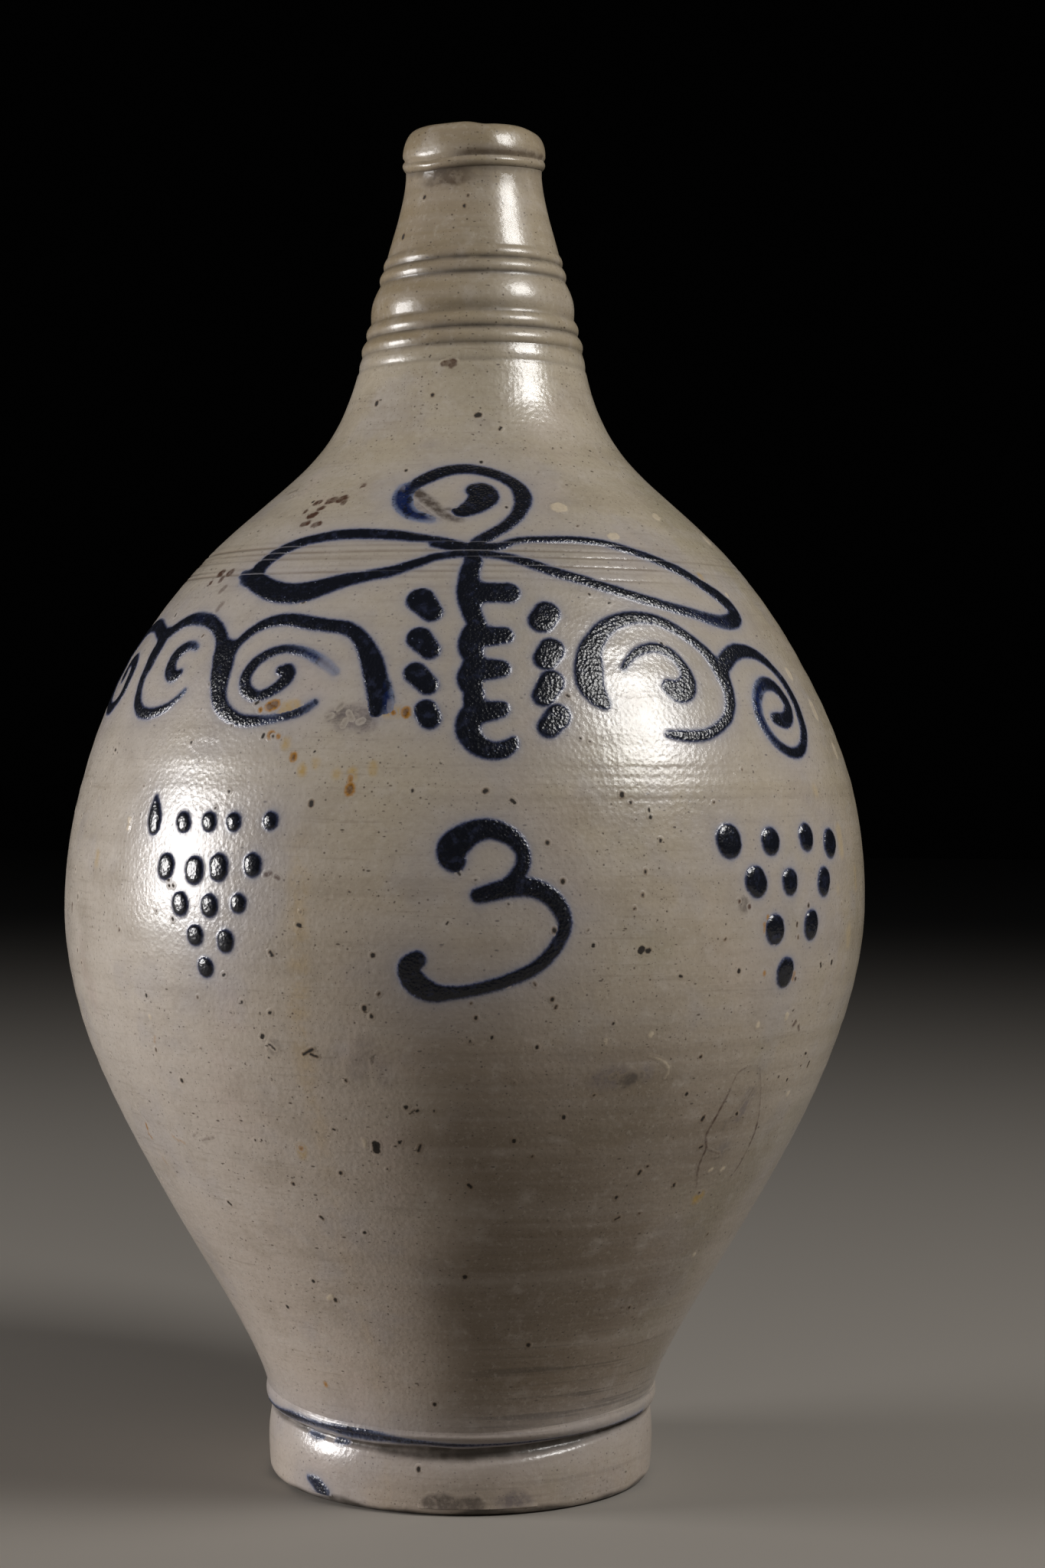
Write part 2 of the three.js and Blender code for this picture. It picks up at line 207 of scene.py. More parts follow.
def wall_outline():
    rise = BELLY[1] - FOOT_TOP
    fall = SHOULDER[1] - BELLY[1]
    neck_rise = NECK_BASE[1] - SHOULDER[1]
    lower = bezier(WALL_START, along(WALL_START, -WALL_START_FLARE, FOOT_FULLNESS * rise),
                   along(BELLY, 0, -BELLY_FULLNESS_BELOW * rise), BELLY)
    upper = bezier(BELLY, along(BELLY, 0, BELLY_FULLNESS_ABOVE * fall),
                   along(SHOULDER, SHOULDER_FALL, -SHOULDER_FULLNESS_BELOW * fall), SHOULDER)
    throat = bezier(SHOULDER, along(SHOULDER, SHOULDER_FALL, SHOULDER_FULLNESS_ABOVE * neck_rise),
                    along(NECK_BASE, NECK_TAPER, -NECK_FULLNESS * neck_rise), NECK_BASE)
    return joined(lower, upper, throat)


def neck_outline():
    height = NECK_BASE[1]
    creases = [np.array(NECK_BASE, float)]
    for rise in CORDON_HEIGHTS:
        height += rise
        creases.append(np.array([NECK_BASE[0] - NECK_TAPER * (height - NECK_BASE[1]) - CREASE_DEPTH, height]))
    cordons = [swell(creases[i], creases[i + 1], amount, 13) for i, amount in enumerate(CORDON_SWELLS)]
    pull = WAIST_FULLNESS * (WAIST[1] - height)
    throat = bezier(creases[-1], along(creases[-1], NECK_TAPER, pull), along(WAIST, WAIST_TAPER, -pull),
                    WAIST, 44)
    return joined(*cordons, throat, [[WAIST[0], LIP_BASE]])


def lip_outline():
    lip_radius = WAIST[0] + LIP_OVERHANG
    bead_top = (WAIST[0] + LIP_OVERHANG / 2, LIP_BASE + LIP_BEAD_HEIGHT)
    return joined(
        swell((WAIST[0], LIP_BASE), bead_top, LIP_BEAD_SWELL, LIP_BEAD_STEPS),
        swell(bead_top, (lip_radius, LIP_TAPER_FROM), 0, 3),
        bezier((lip_radius, LIP_TAPER_FROM), LIP_TAPER_TURN, LIP_TOP_TURN,
               (BORE_RADIUS + MOUTH_ROUNDING + 0.2, JUG_HEIGHT), 24),
        quarter((BORE_RADIUS + MOUTH_ROUNDING, JUG_HEIGHT - MOUTH_ROUNDING), MOUTH_ROUNDING, 90,
                EDGE_STEPS))


def foot_outline():
    band_foot = (FOOT_BAND_RADIUS, BASE_EDGE)
    band_top = (FOOT_BAND_RADIUS - FOOT_BAND_LEAN, FOOT_BAND_HEIGHT)
    return joined(
        quarter((FOOT_BAND_RADIUS - BASE_EDGE, BASE_EDGE), BASE_EDGE, -90, EDGE_STEPS),
        swell(band_foot, band_top, FOOT_BAND_SWELL, 40),
        swell(band_top, WALL_START, FOOT_CORDON_SWELL, 22))


def inward(outline, distance):
    """The same line, moved a distance to its left, which is inwards where the line runs upwards."""
    tangent = np.gradient(outline, axis=0)
    tangent /= np.linalg.norm(tangent, axis=1)[:, None]
    return outline + np.column_stack([-tangent[:, 1], tangent[:, 0]]) * distance


wall_line = wall_outline()
neck_line = neck_outline()
foot_line = foot_outline()
lip_line = lip_outline()
inner_line = inward(wall_line, WALL)
# The outside from the base's edge to the lip's side, so that its heights rise all the way.
full_line = joined(foot_line[EDGE_STEPS:], wall_line, neck_line, lip_line[:LIP_BEAD_STEPS + 4])


def outer_radius(height):
    return np.interp(height, full_line[:, 1], full_line[:, 0])


def outer_slope(height):
    """How far the normal of the smooth outside tips up from the horizontal, in radians."""
    step = 2.0
    fall = outer_radius(height - step) - outer_radius(height + step)
    return np.arctan2(fall, 2 * step)


# The hand in the throwing. The axis sways and the round swells a little with height, in mm. By angle, the
# foot's groove wanders and is deepest in front, with a slope under it. The cordons on the neck are tilted.
SWAY = ((0, 0), (63, -0.15), (120, -0.5), (150, -0.85), (183, -0.4), (235, 0.42), (275, -0.38), (325, 0.6),
        (360, 0.15), (380, 0), (455, 0))
SWELLS = ((0, 0), (33, 0.1), (63, 0.45), (105, 0), (150, 0.25), (200, 0), (275, -0.12), (325, -0.33),
          (365, 0), (455, 0))
OVAL = 0.16
THREE_SIDED = 0.09
NECK_TILT = 0.031
GROOVE_HEIGHTS = ((-180, 23), (-80, 23.2), (-60, 22.6), (-45, 21.6), (-25, 20.9), (-12, 20.4), (0, 20.2),
                  (20, 21.2), (39, 22.4), (57, 23.9), (80, 24.4), (180, 23))
GROOVE_HALF_HEIGHTS = ((-180, 0.9), (-60, 0.8), (-25, 1.2), (-12, 2.3), (0, 2.9), (20, 2.4), (39, 1.6),
                       (57, 1.1), (90, 0.8), (180, 0.9))
GROOVE_DEPTHS = ((-180, 1.0), (-50, 0.9), (-25, 1.2), (-12, 2.2), (0, 2.7), (20, 2.4), (39, 1.8), (80, 1.1),
                 (180, 1.0))
GROOVE_SLOPES = ((-180, 0.2), (-60, 0.5), (-50, 1.3), (-42, 1.3), (-30, 0.8), (0, 0.5), (40, 0.4), (80, 0.2),
                 (180, 0.2))
GROOVE_SLOPE_HEIGHT = 4.5
# How far the crease over the foot's cordon, the creases of the neck and the lip's bead stand off their
# level, in mm, by angle.
FOOT_CREASE_SAG = ((-180, 0), (-90, -1), (-60, -3), (-40, -4.5), (-10, -5.2), (6, -5.2), (24, -4.4),
                   (42, -3.2), (60, -2.2), (90, -0.5), (180, 0))
NECK_LIFT = 0.9
LIP_SAG = ((-180, 0), (-90, -0.2), (-70, -2.0), (-41, -3.1), (-15, -2.7), (0, -2.4), (34, -1.9), (66, -1.1),
           (90, 0), (180, 0))
# A faint crease under the neck's cordons, and the hollow between them, darkened with painted shade.
SHOULDER_CREASE = 372.9
DARK_BAND = 391.2
# The lines that the wiping tool left, as (height, depth). Those on the shoulder end right of the middle, and
# those on the belly are deepest a little to the right of it.
WIPED_LINES = ((310.9, 0.15), (309.4, 0.24), (308.0, 0.18), (306.6, 0.26), (305.3, 0.15), (302.8, 0.24),
               (301.4, 0.18), (299.7, 0.12), (296.0, 0.05), (243.6, 0.02), (240.9, 0.04), (238.3, 0.05),
               (235.2, 0.10), (231.8, 0.08), (228.0, 0.03), (166.0, 0.04), (161.0, 0.05),
               (141.0, 0.04), (118.0, 0.04), (92.0, 0.05), (60.0, 0.05))
LINE_HALF_HEIGHT = 0.42
LINE_STAINS_AT = 0.15
LINE_CUTS_AT = 0.3
SHOULDER_LINES_END = 30
BELLY_LINES_AT = 28
LIP_CREASE_OPEN = math.radians(-60)
LIP_CREASE_DEPTH = 0.12
LIP_CREASE_EXTRA = 0.18
LIP_DIP = {"angle": 8, "half_width": 10, "depth": 0.55}
LIP_LUMPS = (0.14, 0.1)
FAINT_CORDON = 0.22
# The throwing rings, the finer ripples among them, and how much more these show in front.
THROWING_PITCH = 8.6
RING_DEPTH = 0.028
RING_CHANGE = 0.02
RIPPLE_DEPTH = 0.003
FRONT_RIPPLE_DEPTH = 0.009
# Where each of these works: it comes in over a rise above a first height and goes out over a fall below a
# second one.
RINGS_SPAN = (34, 30, 384, 30)
TILT_SPAN = (366, 12, JUG_HEIGHT - 6, 12)
LIFT_SPAN = (366, 10, 424, 12)
LIP_SAG_SPAN = (429, 11, 453.6, 7)
FOOT_SAG_SPAN = (24.8, 7, 62, 28)
BRIM_HEIGHT = 8


def knots(table, value, period=None):
    places, amounts = zip(*table)
    return np.interp(value, places, amounts, period=period)


def spanned(height, span):
    """How strongly something works at a height: 1 inside its span, fading out over both ends."""
    start, rise, end, fall = span
    return portion(height, start, rise) * portion(end, height, fall)


def wiped(angle, height):
    """The depth of the lines that the wiping tool cut, in mm."""
    turn = np.radians(angle)
    total = 0 * (angle + height)
    for line, depth in WIPED_LINES:
        drift = 0.5 * np.sin(turn * 1.5 + line)
        reach = 0.6 + 0.4 * np.sin(turn * 2 + line * 1.7)
        if line < SHOULDER[1] - 20:
            reach = reach * (0.1 + 0.9 * bell(angle - BELLY_LINES_AT, 24))
        else:
            reach = reach * (1 - 0.72 * portion(angle, SHOULDER_LINES_END, 18))
        total = total + depth * reach * bell(height - line - drift, LINE_HALF_HEIGHT)
    return total


def hand(angle, height):
    """How far the thrown surface stands off the true profile, in mm."""
    turn = np.radians(angle)
    off = knots(SWELLS, height) + OVAL * np.sin(2 * turn + height / 64)
    off = off + THREE_SIDED * np.sin(3 * turn - height / 41)
    # Rings climb in a spiral up the wall, with finer ripples among them.
    spiral = (height - THROWING_PITCH * turn / (2 * np.pi)) / THROWING_PITCH
    on_wall = spanned(height, RINGS_SPAN)
    ring_strength = RING_DEPTH + RING_CHANGE * np.sin(height / 19.0)
    off = off + on_wall * ring_strength * np.sin(2 * np.pi * spiral)
    rippled = RIPPLE_DEPTH + FRONT_RIPPLE_DEPTH * bell(angle - BELLY_LINES_AT, 26)
    off = off + on_wall * rippled * np.sin(2 * np.pi * spiral * 2.7 + 2 * turn)
    off = off - wiped(angle, height)
    # The foot's groove.
    groove = knots(GROOVE_HEIGHTS, angle, 360)
    half = knots(GROOVE_HALF_HEIGHTS, angle, 360)
    off = off - knots(GROOVE_DEPTHS, angle, 360) * np.exp(-np.abs((height - groove) / half) ** 2.6)
    below = np.where(height < groove, (groove - height) / GROOVE_SLOPE_HEIGHT, height - groove)
    off = off - knots(GROOVE_SLOPES, angle, 360) * bell(below, 1)
    # A last faint cordon under the neck.
    off = off + FAINT_CORDON * bell(height - SHOULDER_CREASE - 2.6, 1.5)
    off = off - FAINT_CORDON * bell(height - SHOULDER_CREASE, 0.7)
    # The crease over the lip's bead is deepest on the left.
    crease = LIP_CREASE_DEPTH + LIP_CREASE_EXTRA * np.cos(turn - LIP_CREASE_OPEN)
    off = off - crease * bell(height - LIP_BASE - LIP_BEAD_HEIGHT - 0.3, 0.9)
    lumpy = portion(height, LIP_BASE, 4)
    coarse, fine = LIP_LUMPS
    return off + lumpy * (coarse * np.sin(5 * turn + 1.3) + fine * np.sin(9 * turn + height / 3))


def placed(angle, radius, height, tip, off):
    """Points in metres from a place on the profile, moved off along the normal and then out of true."""
    turn = np.radians(angle)
    out = radius + off * np.cos(tip)
    x = out * np.sin(turn) + knots(SWAY, height)
    y = -out * np.cos(turn)
    z = height + off * np.sin(tip)
    z = z + spanned(height, TILT_SPAN) * NECK_TILT * out * np.sin(turn)
    z = z + spanned(height, LIFT_SPAN) * NECK_LIFT
    z = z + spanned(height, LIP_SAG_SPAN) * knots(LIP_SAG, angle, 360)
    z = z + spanned(height, FOOT_SAG_SPAN) * knots(FOOT_CREASE_SAG, angle, 360)
    dip = LIP_DIP["depth"] * bell(angle - LIP_DIP["angle"], LIP_DIP["half_width"])
    brim = portion(height, JUG_HEIGHT - BRIM_HEIGHT, BRIM_HEIGHT)
    z = z - brim * (dip + 0.2 + 0.2 * np.sin(3 * turn + 0.6) * np.sin(4 * turn))
    return np.stack([x, y, z], -1) * MM


def skin(angle, height, lift=0.0):
    """The thrown outside at an angle and height, raised by lift along its normal."""
    return placed(angle, outer_radius(height), height, outer_slope(height), hand(angle, height) + lift)


def new_object(name, points, faces):
    mesh = bpy.data.meshes.new(name)
    mesh.from_pydata([tuple(p) for p in points], [], faces)
    mesh.validate()
    obj = bpy.data.objects.new(name, mesh)
    bpy.context.scene.collection.objects.link(obj)
    mesh.shade_smooth()
    return obj


def keep_value(obj, name, values):
    """Stores a number at each point, for the materials to read."""
    layer = obj.data.attributes.new(name, "FLOAT", "POINT")
    layer.data.foreach_set("value", np.asarray(values, np.float32))


# The cobalt decoration. Each stroke is a centre line of (angle, height, half width) and, where the slip
# was thin, how far it faded: 0 is the full near-black blue and 1 is a pale wash. The bow's curl comes first,
# then its wings, the stalk under it, the scrolls at both sides and the capacity numeral.
CURL = [
    [(-17, 328.2, 1.8, 0.3), (-16.2, 329.9, 2.3, 0.1), (-14, 332, 2.7), (-10, 334.3, 2.7),
     (-5.9, 335.5, 2.4), (-1.85, 335.8, 2.35), (2.6, 335.3, 2.2), (6.3, 334.2, 2.25), (9.6, 332.6, 2.35),
     (12.2, 330.3, 2.55), (13.1, 327.7, 2.85), (12.8, 325, 2.7), (11.7, 322.3, 2.3), (10, 319.3, 2.1),
     (7.4, 316.3, 2), (4.4, 313.6, 2), (2, 311.4, 2.1), (0.4, 309.4, 2.2)],
    [(1.2, 328.4, 3.5), (2.5, 327.9, 4.5), (2.9, 326.1, 4.7), (1.3, 323.8, 4.1), (-0.6, 322.1, 3.3),
     (-2.5, 320.9, 2.4), (-4, 321.3, 1.2)],
    [(-18.6, 329.2, 2.2, 0.95), (-18.3, 327, 3.1, 0.85), (-17.6, 324.6, 3.2, 0.85),
     (-16.2, 322.2, 2.7, 0.85), (-14.1, 320.2, 2.3, 0.8), (-11.5, 319.1, 2, 0.85),
     (-9.2, 318.3, 1.4, 0.95)],
]
WINGS = [
    [(-2.4, 310.2, 1), (-5.4, 311.3, 1), (-8.5, 311.8, 1.35), (-12.2, 312.3, 1.9), (-15.2, 312.9, 2.1),
     (-20.2, 313.4, 2.2), (-24.4, 313.6, 2.3), (-30, 313.3, 2.3), (-35, 312.2, 2.1), (-38, 311.1, 2.25),
     (-41.2, 309.2, 2.6), (-43.4, 306.8, 3), (-44.7, 304, 3.3), (-44.9, 301.2, 3.4), (-43.6, 298.7, 3.4),
     (-40.6, 296.6, 3.5), (-37.6, 295.1, 3.75), (-34.3, 294.3, 3.85), (-31.3, 294.4, 4),
     (-28.7, 295.3, 3.75), (-26.1, 296.7, 3.3), (-23.1, 298.3, 2.75), (-20.2, 299.3, 2.3),
     (-17.5, 300.2, 2.1), (-15, 301, 2.05), (-12, 302.7, 1.85), (-9.1, 304.5, 1.7), (-6.9, 305.8, 1.5),
     (-3.8, 306.5, 1.3), (-1, 307.2, 1.6)],
    [(-48.8, 300.9, 1.6, 0.25), (-47, 300.3, 2.4, 0.1), (-45.2, 300, 3)],
    [(-47.2, 298.6, 1.1, 0.3), (-45.6, 298.6, 2)],
    [(-7.8, 309.9, 0.9), (-4.1, 309.2, 1.7), (-0.4, 308.7, 2.4), (3.3, 308.9, 2.1), (6.3, 309.9, 1.5, 0.1),
     (8, 310.9, 1.3), (10.4, 311.7, 1.2), (13.7, 312.1, 1.15), (18.2, 312.3, 1.2), (21.5, 312.4, 1.2),
     (25.6, 312.1, 1.25), (29.1, 311.4, 1.3), (33.2, 310, 1.5), (36.5, 308.5, 1.6), (39.5, 307, 1.75),
     (42.5, 305.2, 1.95), (45.3, 303.4, 2), (48.1, 300.8, 2.1), (50.7, 298.1, 2.5), (52.9, 295.7, 2.8),
     (54.5, 293, 3.1), (54.9, 290.6, 3.1), (54, 288.8, 2.8), (52.4, 287.7, 2.7), (49.6, 287.2, 2.5, 0.2),
     (45.9, 288.1, 2.2, 0.3), (42.2, 289.7, 1.85, 0.2), (38.5, 291, 1.75, 0.1), (34.8, 292.5, 1.65),
     (31.1, 294.1, 1.7), (27.4, 295.9, 1.7), (23.7, 297.7, 1.8), (20.7, 299.3, 1.75), (16.8, 301, 1.85),
     (13.8, 302.7, 1.8), (10.9, 304.3, 1.8), (7.9, 305.7, 1.6), (5, 306.5, 1.4), (2.4, 307, 1.6)],
]
STALK = [
    [(0.2, 308.6, 2.2), (0.2, 306.6, 2.5), (0.5, 304.3, 2.7), (-0.1, 301.3, 2.9), (-0.2, 298, 3.3),
     (-0.1, 294.3, 3.8), (0.1, 290.3, 3.2), (0.7, 287, 2.9), (1.3, 284.2, 2.8), (0.6, 281, 3.4),
     (0.3, 277.3, 3.6), (0.9, 274, 3.1), (0.7, 270.7, 3.5), (0.2, 267.6, 3.7), (0.7, 264.3, 3.1),
     (0.8, 261.3, 3.1), (0.8, 258.2, 3.3), (0.1, 255.4, 3.6), (-0.1, 252.2, 3.7), (0.4, 249.6, 3.4),
     (1.4, 247.4, 3.1), (3, 246.1, 2.8), (4.7, 246.4, 2.6), (5.8, 247.8, 2), (6.1, 249, 1.3)],
    [(1.5, 294.4, 4), (4.2, 294.5, 3.7), (6.6, 294.5, 3.8)],
    [(1.6, 280.6, 3.7), (3.8, 280.8, 3.3), (5.6, 281.1, 2.9)],
    [(1.6, 270.3, 3.7), (3.4, 270.6, 3.4), (4.9, 270.8, 2.9)],
    [(1.6, 257.6, 3.4), (3.2, 257.9, 3.1), (4.6, 258.5, 2.5)],
]
STALK_DOTS = [
    [(-8.3, 291.8, 4.5), (-6.3, 288.1, 3.5)], [(-7.7, 279.8, 4), (-5.9, 276.3, 3.2)],
    [(-7.8, 269.2, 3.6), (-5.9, 265.6, 3.2)], [(-6, 257.9, 3.4), (-5.4, 255.5, 3.4)],
    [(13.1, 288.4, 4), (11.9, 285.6, 4)], [(13.1, 276.9, 3.9), (11.9, 273.9, 3.7)],
    [(12.4, 267, 3.8), (10.9, 262.6, 3.4)], [(12.7, 256.6, 3.8), (11.2, 253.2, 3.4)],
]
SCROLLS_LEFT = [
    [(-13.2, 257.4, 1.9), (-12.95, 259.5, 2.9), (-13.2, 264.2, 3.5), (-13.9, 268.7, 3.5),
     (-14.7, 272.7, 3.4), (-15.9, 276.7, 2.9), (-17.7, 280.5, 2.4), (-20, 282.9, 2.3), (-23.2, 283.8, 2.2),
     (-26.8, 284.6, 2.3), (-30.3, 285.7, 2.2), (-33.4, 285.6, 2.1), (-36.3, 284.1, 1.9),
     (-38.5, 281.5, 1.7), (-39.8, 278.6, 1.8), (-40.9, 275.8, 2.6)],
    [(-41.9, 277.6, 2.2), (-41.7, 274.7, 4), (-41.3, 271.3, 4.3), (-40.9, 268, 3.9), (-40.4, 264.7, 3.2),
     (-39.7, 261.3, 2.7), (-38.5, 258.4, 2.4), (-36.7, 256, 2.1), (-34.3, 254.4, 1.75), (-32, 254.3, 1.65),
     (-29.4, 254.8, 1.3, 0.45), (-27.2, 255.6, 1.2, 0.15), (-25.4, 256.6, 1.25, 0.1),
     (-23.9, 258.1, 1.2, 0.35), (-22.6, 259.9, 1, 0.6)],
    [(-20.2, 269.4, 0.9, 1), (-22, 271.8, 1.4, 1), (-24.4, 274.2, 1.5, 0.8), (-26.8, 275.8, 1.4, 0.35),
     (-29.4, 276.5, 1.35, 0.1), (-31.8, 275.7, 1.5), (-33.9, 273.6, 1.7), (-35.2, 270.7, 2),
     (-35.6, 267.3, 2), (-34.9, 264.1, 2), (-32.9, 261.9, 1.7), (-30.9, 262.7, 1.7), (-29.1, 265.1, 1.9),
     (-28, 267.6, 2.2), (-28.3, 269.7, 2.3), (-29.6, 269.9, 1.4)],
    [(-63.3, 281, 2.6), (-61.2, 283, 2.5), (-59.1, 285, 2.3), (-56.9, 286.3, 2.3),
     (-54.6, 286.7, 2.4, 0.15), (-52.4, 286.4, 2.4, 0.2), (-50.2, 285.9, 2.3), (-48, 284.5, 2.1),
     (-45.7, 282.3, 2.1), (-44.3, 280, 2.3), (-43.2, 277.3, 2.7), (-42.5, 274.7, 3.2)],
    [(-63.4, 280.6, 3), (-63.1, 278, 3.7), (-63, 274.7, 3.5), (-62.9, 271.3, 2.9), (-62.9, 268, 2.2),
     (-62.3, 264.3, 1.9), (-61.3, 261, 1.9), (-59.8, 258.4, 1.9), (-58.1, 256.7, 1.85),
     (-55.7, 256.2, 1.75), (-53.5, 256.8, 1.5), (-51.3, 258.1, 1.3), (-49.4, 260.6, 0.9, 0.3),
     (-48, 263.4, 0.7, 0.7)],
    [(-49.6, 277.2, 0.9, 0.7), (-51.3, 277.9, 1.5, 0.35), (-53.1, 277.1, 2.1), (-54.5, 274.8, 2.5),
     (-54.7, 271.7, 2.6), (-53.7, 269.1, 2.4), (-52.3, 268.2, 2), (-51.1, 269.2, 1.1)],
    [(-63.5, 281.6, 2.6), (-65.4, 282.4, 2.5), (-67.6, 283.5, 2.4), (-69.8, 284.7, 2.4),
     (-72.4, 285.3, 2.5), (-75, 285.2, 2.6), (-77.6, 284.2, 2.6), (-80, 281.8, 2.6), (-81.7, 278, 2.6),
     (-82.4, 273.4, 2.8), (-82.2, 268.5, 2.8), (-81, 263.8, 2.5), (-78.9, 260.2, 2.3), (-76.2, 258, 2.2),
     (-73.3, 258.3, 2.1), (-71.2, 260.8, 2.1), (-70.2, 264.2, 2.5), (-70.3, 268.2, 2.7),
     (-71.3, 271.8, 2.7), (-73.2, 273.9, 2.4), (-75.3, 273, 2.1), (-76.2, 270.3, 2), (-75.3, 268.4, 2.3)],
    [(-12.2, 265.5, 1.2, 1), (-11.8, 262, 1.9, 1), (-11.5, 258.6, 1.9, 1)],
]
SCROLLS_RIGHT = [
    [(19.9, 260.6, 2), (18.9, 263.3, 3.4), (18.3, 266.7, 4.3), (18.4, 270, 4.5), (18.8, 273.3, 4.2),
     (19.3, 276.7, 3.5), (20.4, 279.7, 3), (22.1, 283, 2.7), (24.4, 285.6, 2.4), (27.4, 287.2, 2.2),
     (30.3, 287.6, 2), (33.2, 286.9, 1.9), (36.2, 284.7, 1.8), (39.1, 281.3, 1.8), (41.2, 277.7, 1.9),
     (42.5, 274, 2.4), (43.1, 270, 2.8), (43.3, 266.7, 2.4), (43, 263.3, 2.1), (42.3, 260, 1.9),
     (41.2, 257, 1.7), (39.6, 254.7, 1.6), (37.8, 252.8, 1.6), (35.6, 251.3, 1.65), (33, 250.9, 1.7),
     (30.7, 251.2, 1.4), (29.2, 251.5, 0.9, 0.2)],
    [(24.3, 271.6, 0.7), (25.6, 274.1, 0.9), (27, 276.1, 1.15), (28.9, 277.6, 1.35), (30.7, 278.2, 1.5),
     (32.6, 277.6, 1.6), (34.1, 275.9, 1.65), (35.1, 273.5, 1.7), (35.6, 270.6, 2.1), (35.3, 267.6, 2.9),
     (34.3, 265.4, 3.6), (32.9, 264.6, 3.6), (31.6, 265.8, 2.6)],
    [(43.5, 271.9, 2.5), (45.5, 274.7, 2.8), (47.4, 276.7, 2.7), (49.6, 277.9, 2.6), (51.5, 278.1, 2.4),
     (53.7, 277.7, 2.2), (55.6, 276.6, 2), (57.4, 274.7, 1.85), (58.9, 272.1, 1.8), (60.2, 269, 1.9),
     (60.9, 265.7, 2), (61.1, 262.3, 2.1), (61, 258.7, 2.1), (60.5, 254.7, 2.1), (59.5, 251.2, 1.95),
     (58.1, 248.2, 1.8), (56.3, 246.4, 1.75), (54.4, 246, 1.7), (52.6, 246.8, 1.7),
     (50.9, 248.7, 1.7, 0.2), (49.6, 251.4, 1.75, 0.45), (48.8, 254.7, 1.9, 0.5), (48.6, 258, 1.95, 0.6),
     (49.1, 261.7, 1.95, 0.8), (50.4, 264.9, 2, 0.7), (51.9, 266.9, 2.1, 0.4), (53.5, 267.8, 2.3, 0.1),
     (55.2, 267.6, 2.25), (56.7, 266, 2.2), (57.6, 263.3, 2.25), (57.7, 260.3, 2.35), (56.8, 257.8, 2.5),
     (55.2, 256.3, 2.6), (53.5, 256.4, 2.4), (52.3, 256.8, 1.8)],
]
NUMERAL = [
    [(-1.55, 213.2, 3.1), (-2, 215, 4.1), (-1.85, 217.4, 4.5), (-0.9, 219.7, 4.1), (0.6, 221.9, 3.4),
     (2.4, 222.9, 3), (4.1, 222.2, 2.8), (5.6, 220.4, 2.5), (6.6, 218, 2.2), (7.1, 215.2, 2.05),
     (7.05, 212.5, 2.1), (6.5, 209.8, 2.2), (5.8, 207.2, 2.3)],
    [(1.5, 203.3, 2.2), (2.6, 203.9, 2.5), (4.1, 204.9, 2.65), (6.6, 205.9, 2.75), (8.8, 205.3, 2.7),
     (10.7, 202.8, 2.55), (12, 199.1, 2.4), (12.6, 195, 2.05), (12.1, 190.7, 1.9), (10.9, 186.2, 1.9),
     (9.1, 182.2, 1.9), (6.4, 179, 1.85), (3.4, 176.6, 1.8), (0.4, 175, 1.75), (-2, 174.4, 2.1),
     (-3.8, 174.4, 2.8), (-5.5, 176.1, 3.4), (-6.7, 179, 3.5), (-6.9, 182.2, 3.3), (-6, 184.1, 2.6)],
]
# Drops of slip, set out in two bunches: (angle, height, width, length, lean of the top to the right).
DROPS_LEFT = (
    (-41, 222.9, 5.6, 6.9, -35), (-36.4, 223.3, 5.5, 6.4, -25), (-32.3, 223.5, 5.3, 6, -20),
    (-26.6, 224.2, 4.9, 5.7, -5), (-43.3, 209.2, 7, 8.3, 8), (-38, 208.5, 7.3, 8.8, -8),
    (-33.9, 209.7, 6.9, 8.6, -8), (-28.6, 210.8, 6.1, 7.4, -8), (-40.1, 198.1, 6.6, 7.6, -20),
    (-35, 198.1, 6.3, 7.2, -8), (-30.4, 199.2, 5.4, 6, 0), (-37.3, 188.9, 6.3, 6.5, 0),
    (-32.3, 187.6, 6, 7.1, 0), (-35.7, 179.3, 5.9, 6.2, 0),
)
# The first drop of the left bunch has a drawn-out tip.
LEAF_DROP = [(-47.6, 230.2, 0.7), (-47.3, 227, 2.1), (-47, 223.8, 3.1), (-46.8, 221.4, 2.7)]
DROPS_RIGHT = (
    (36.8, 218.9, 9.9, 10.9, -15), (44.7, 218.6, 8.5, 8.9, 0), (53.1, 219.5, 8.2, 8.9, -3),
    (60, 217.2, 9, 9.5, 25), (41.4, 206.3, 9, 10.2, -40), (48.4, 205.8, 7.6, 8.5, 0),
    (57.2, 205.2, 8, 9.6, 22), (45.2, 191.3, 8.8, 9.6, -25), (53.6, 191.9, 8.1, 9.6, 5),
    (48.3, 177.6, 8.4, 9.6, 0),
)
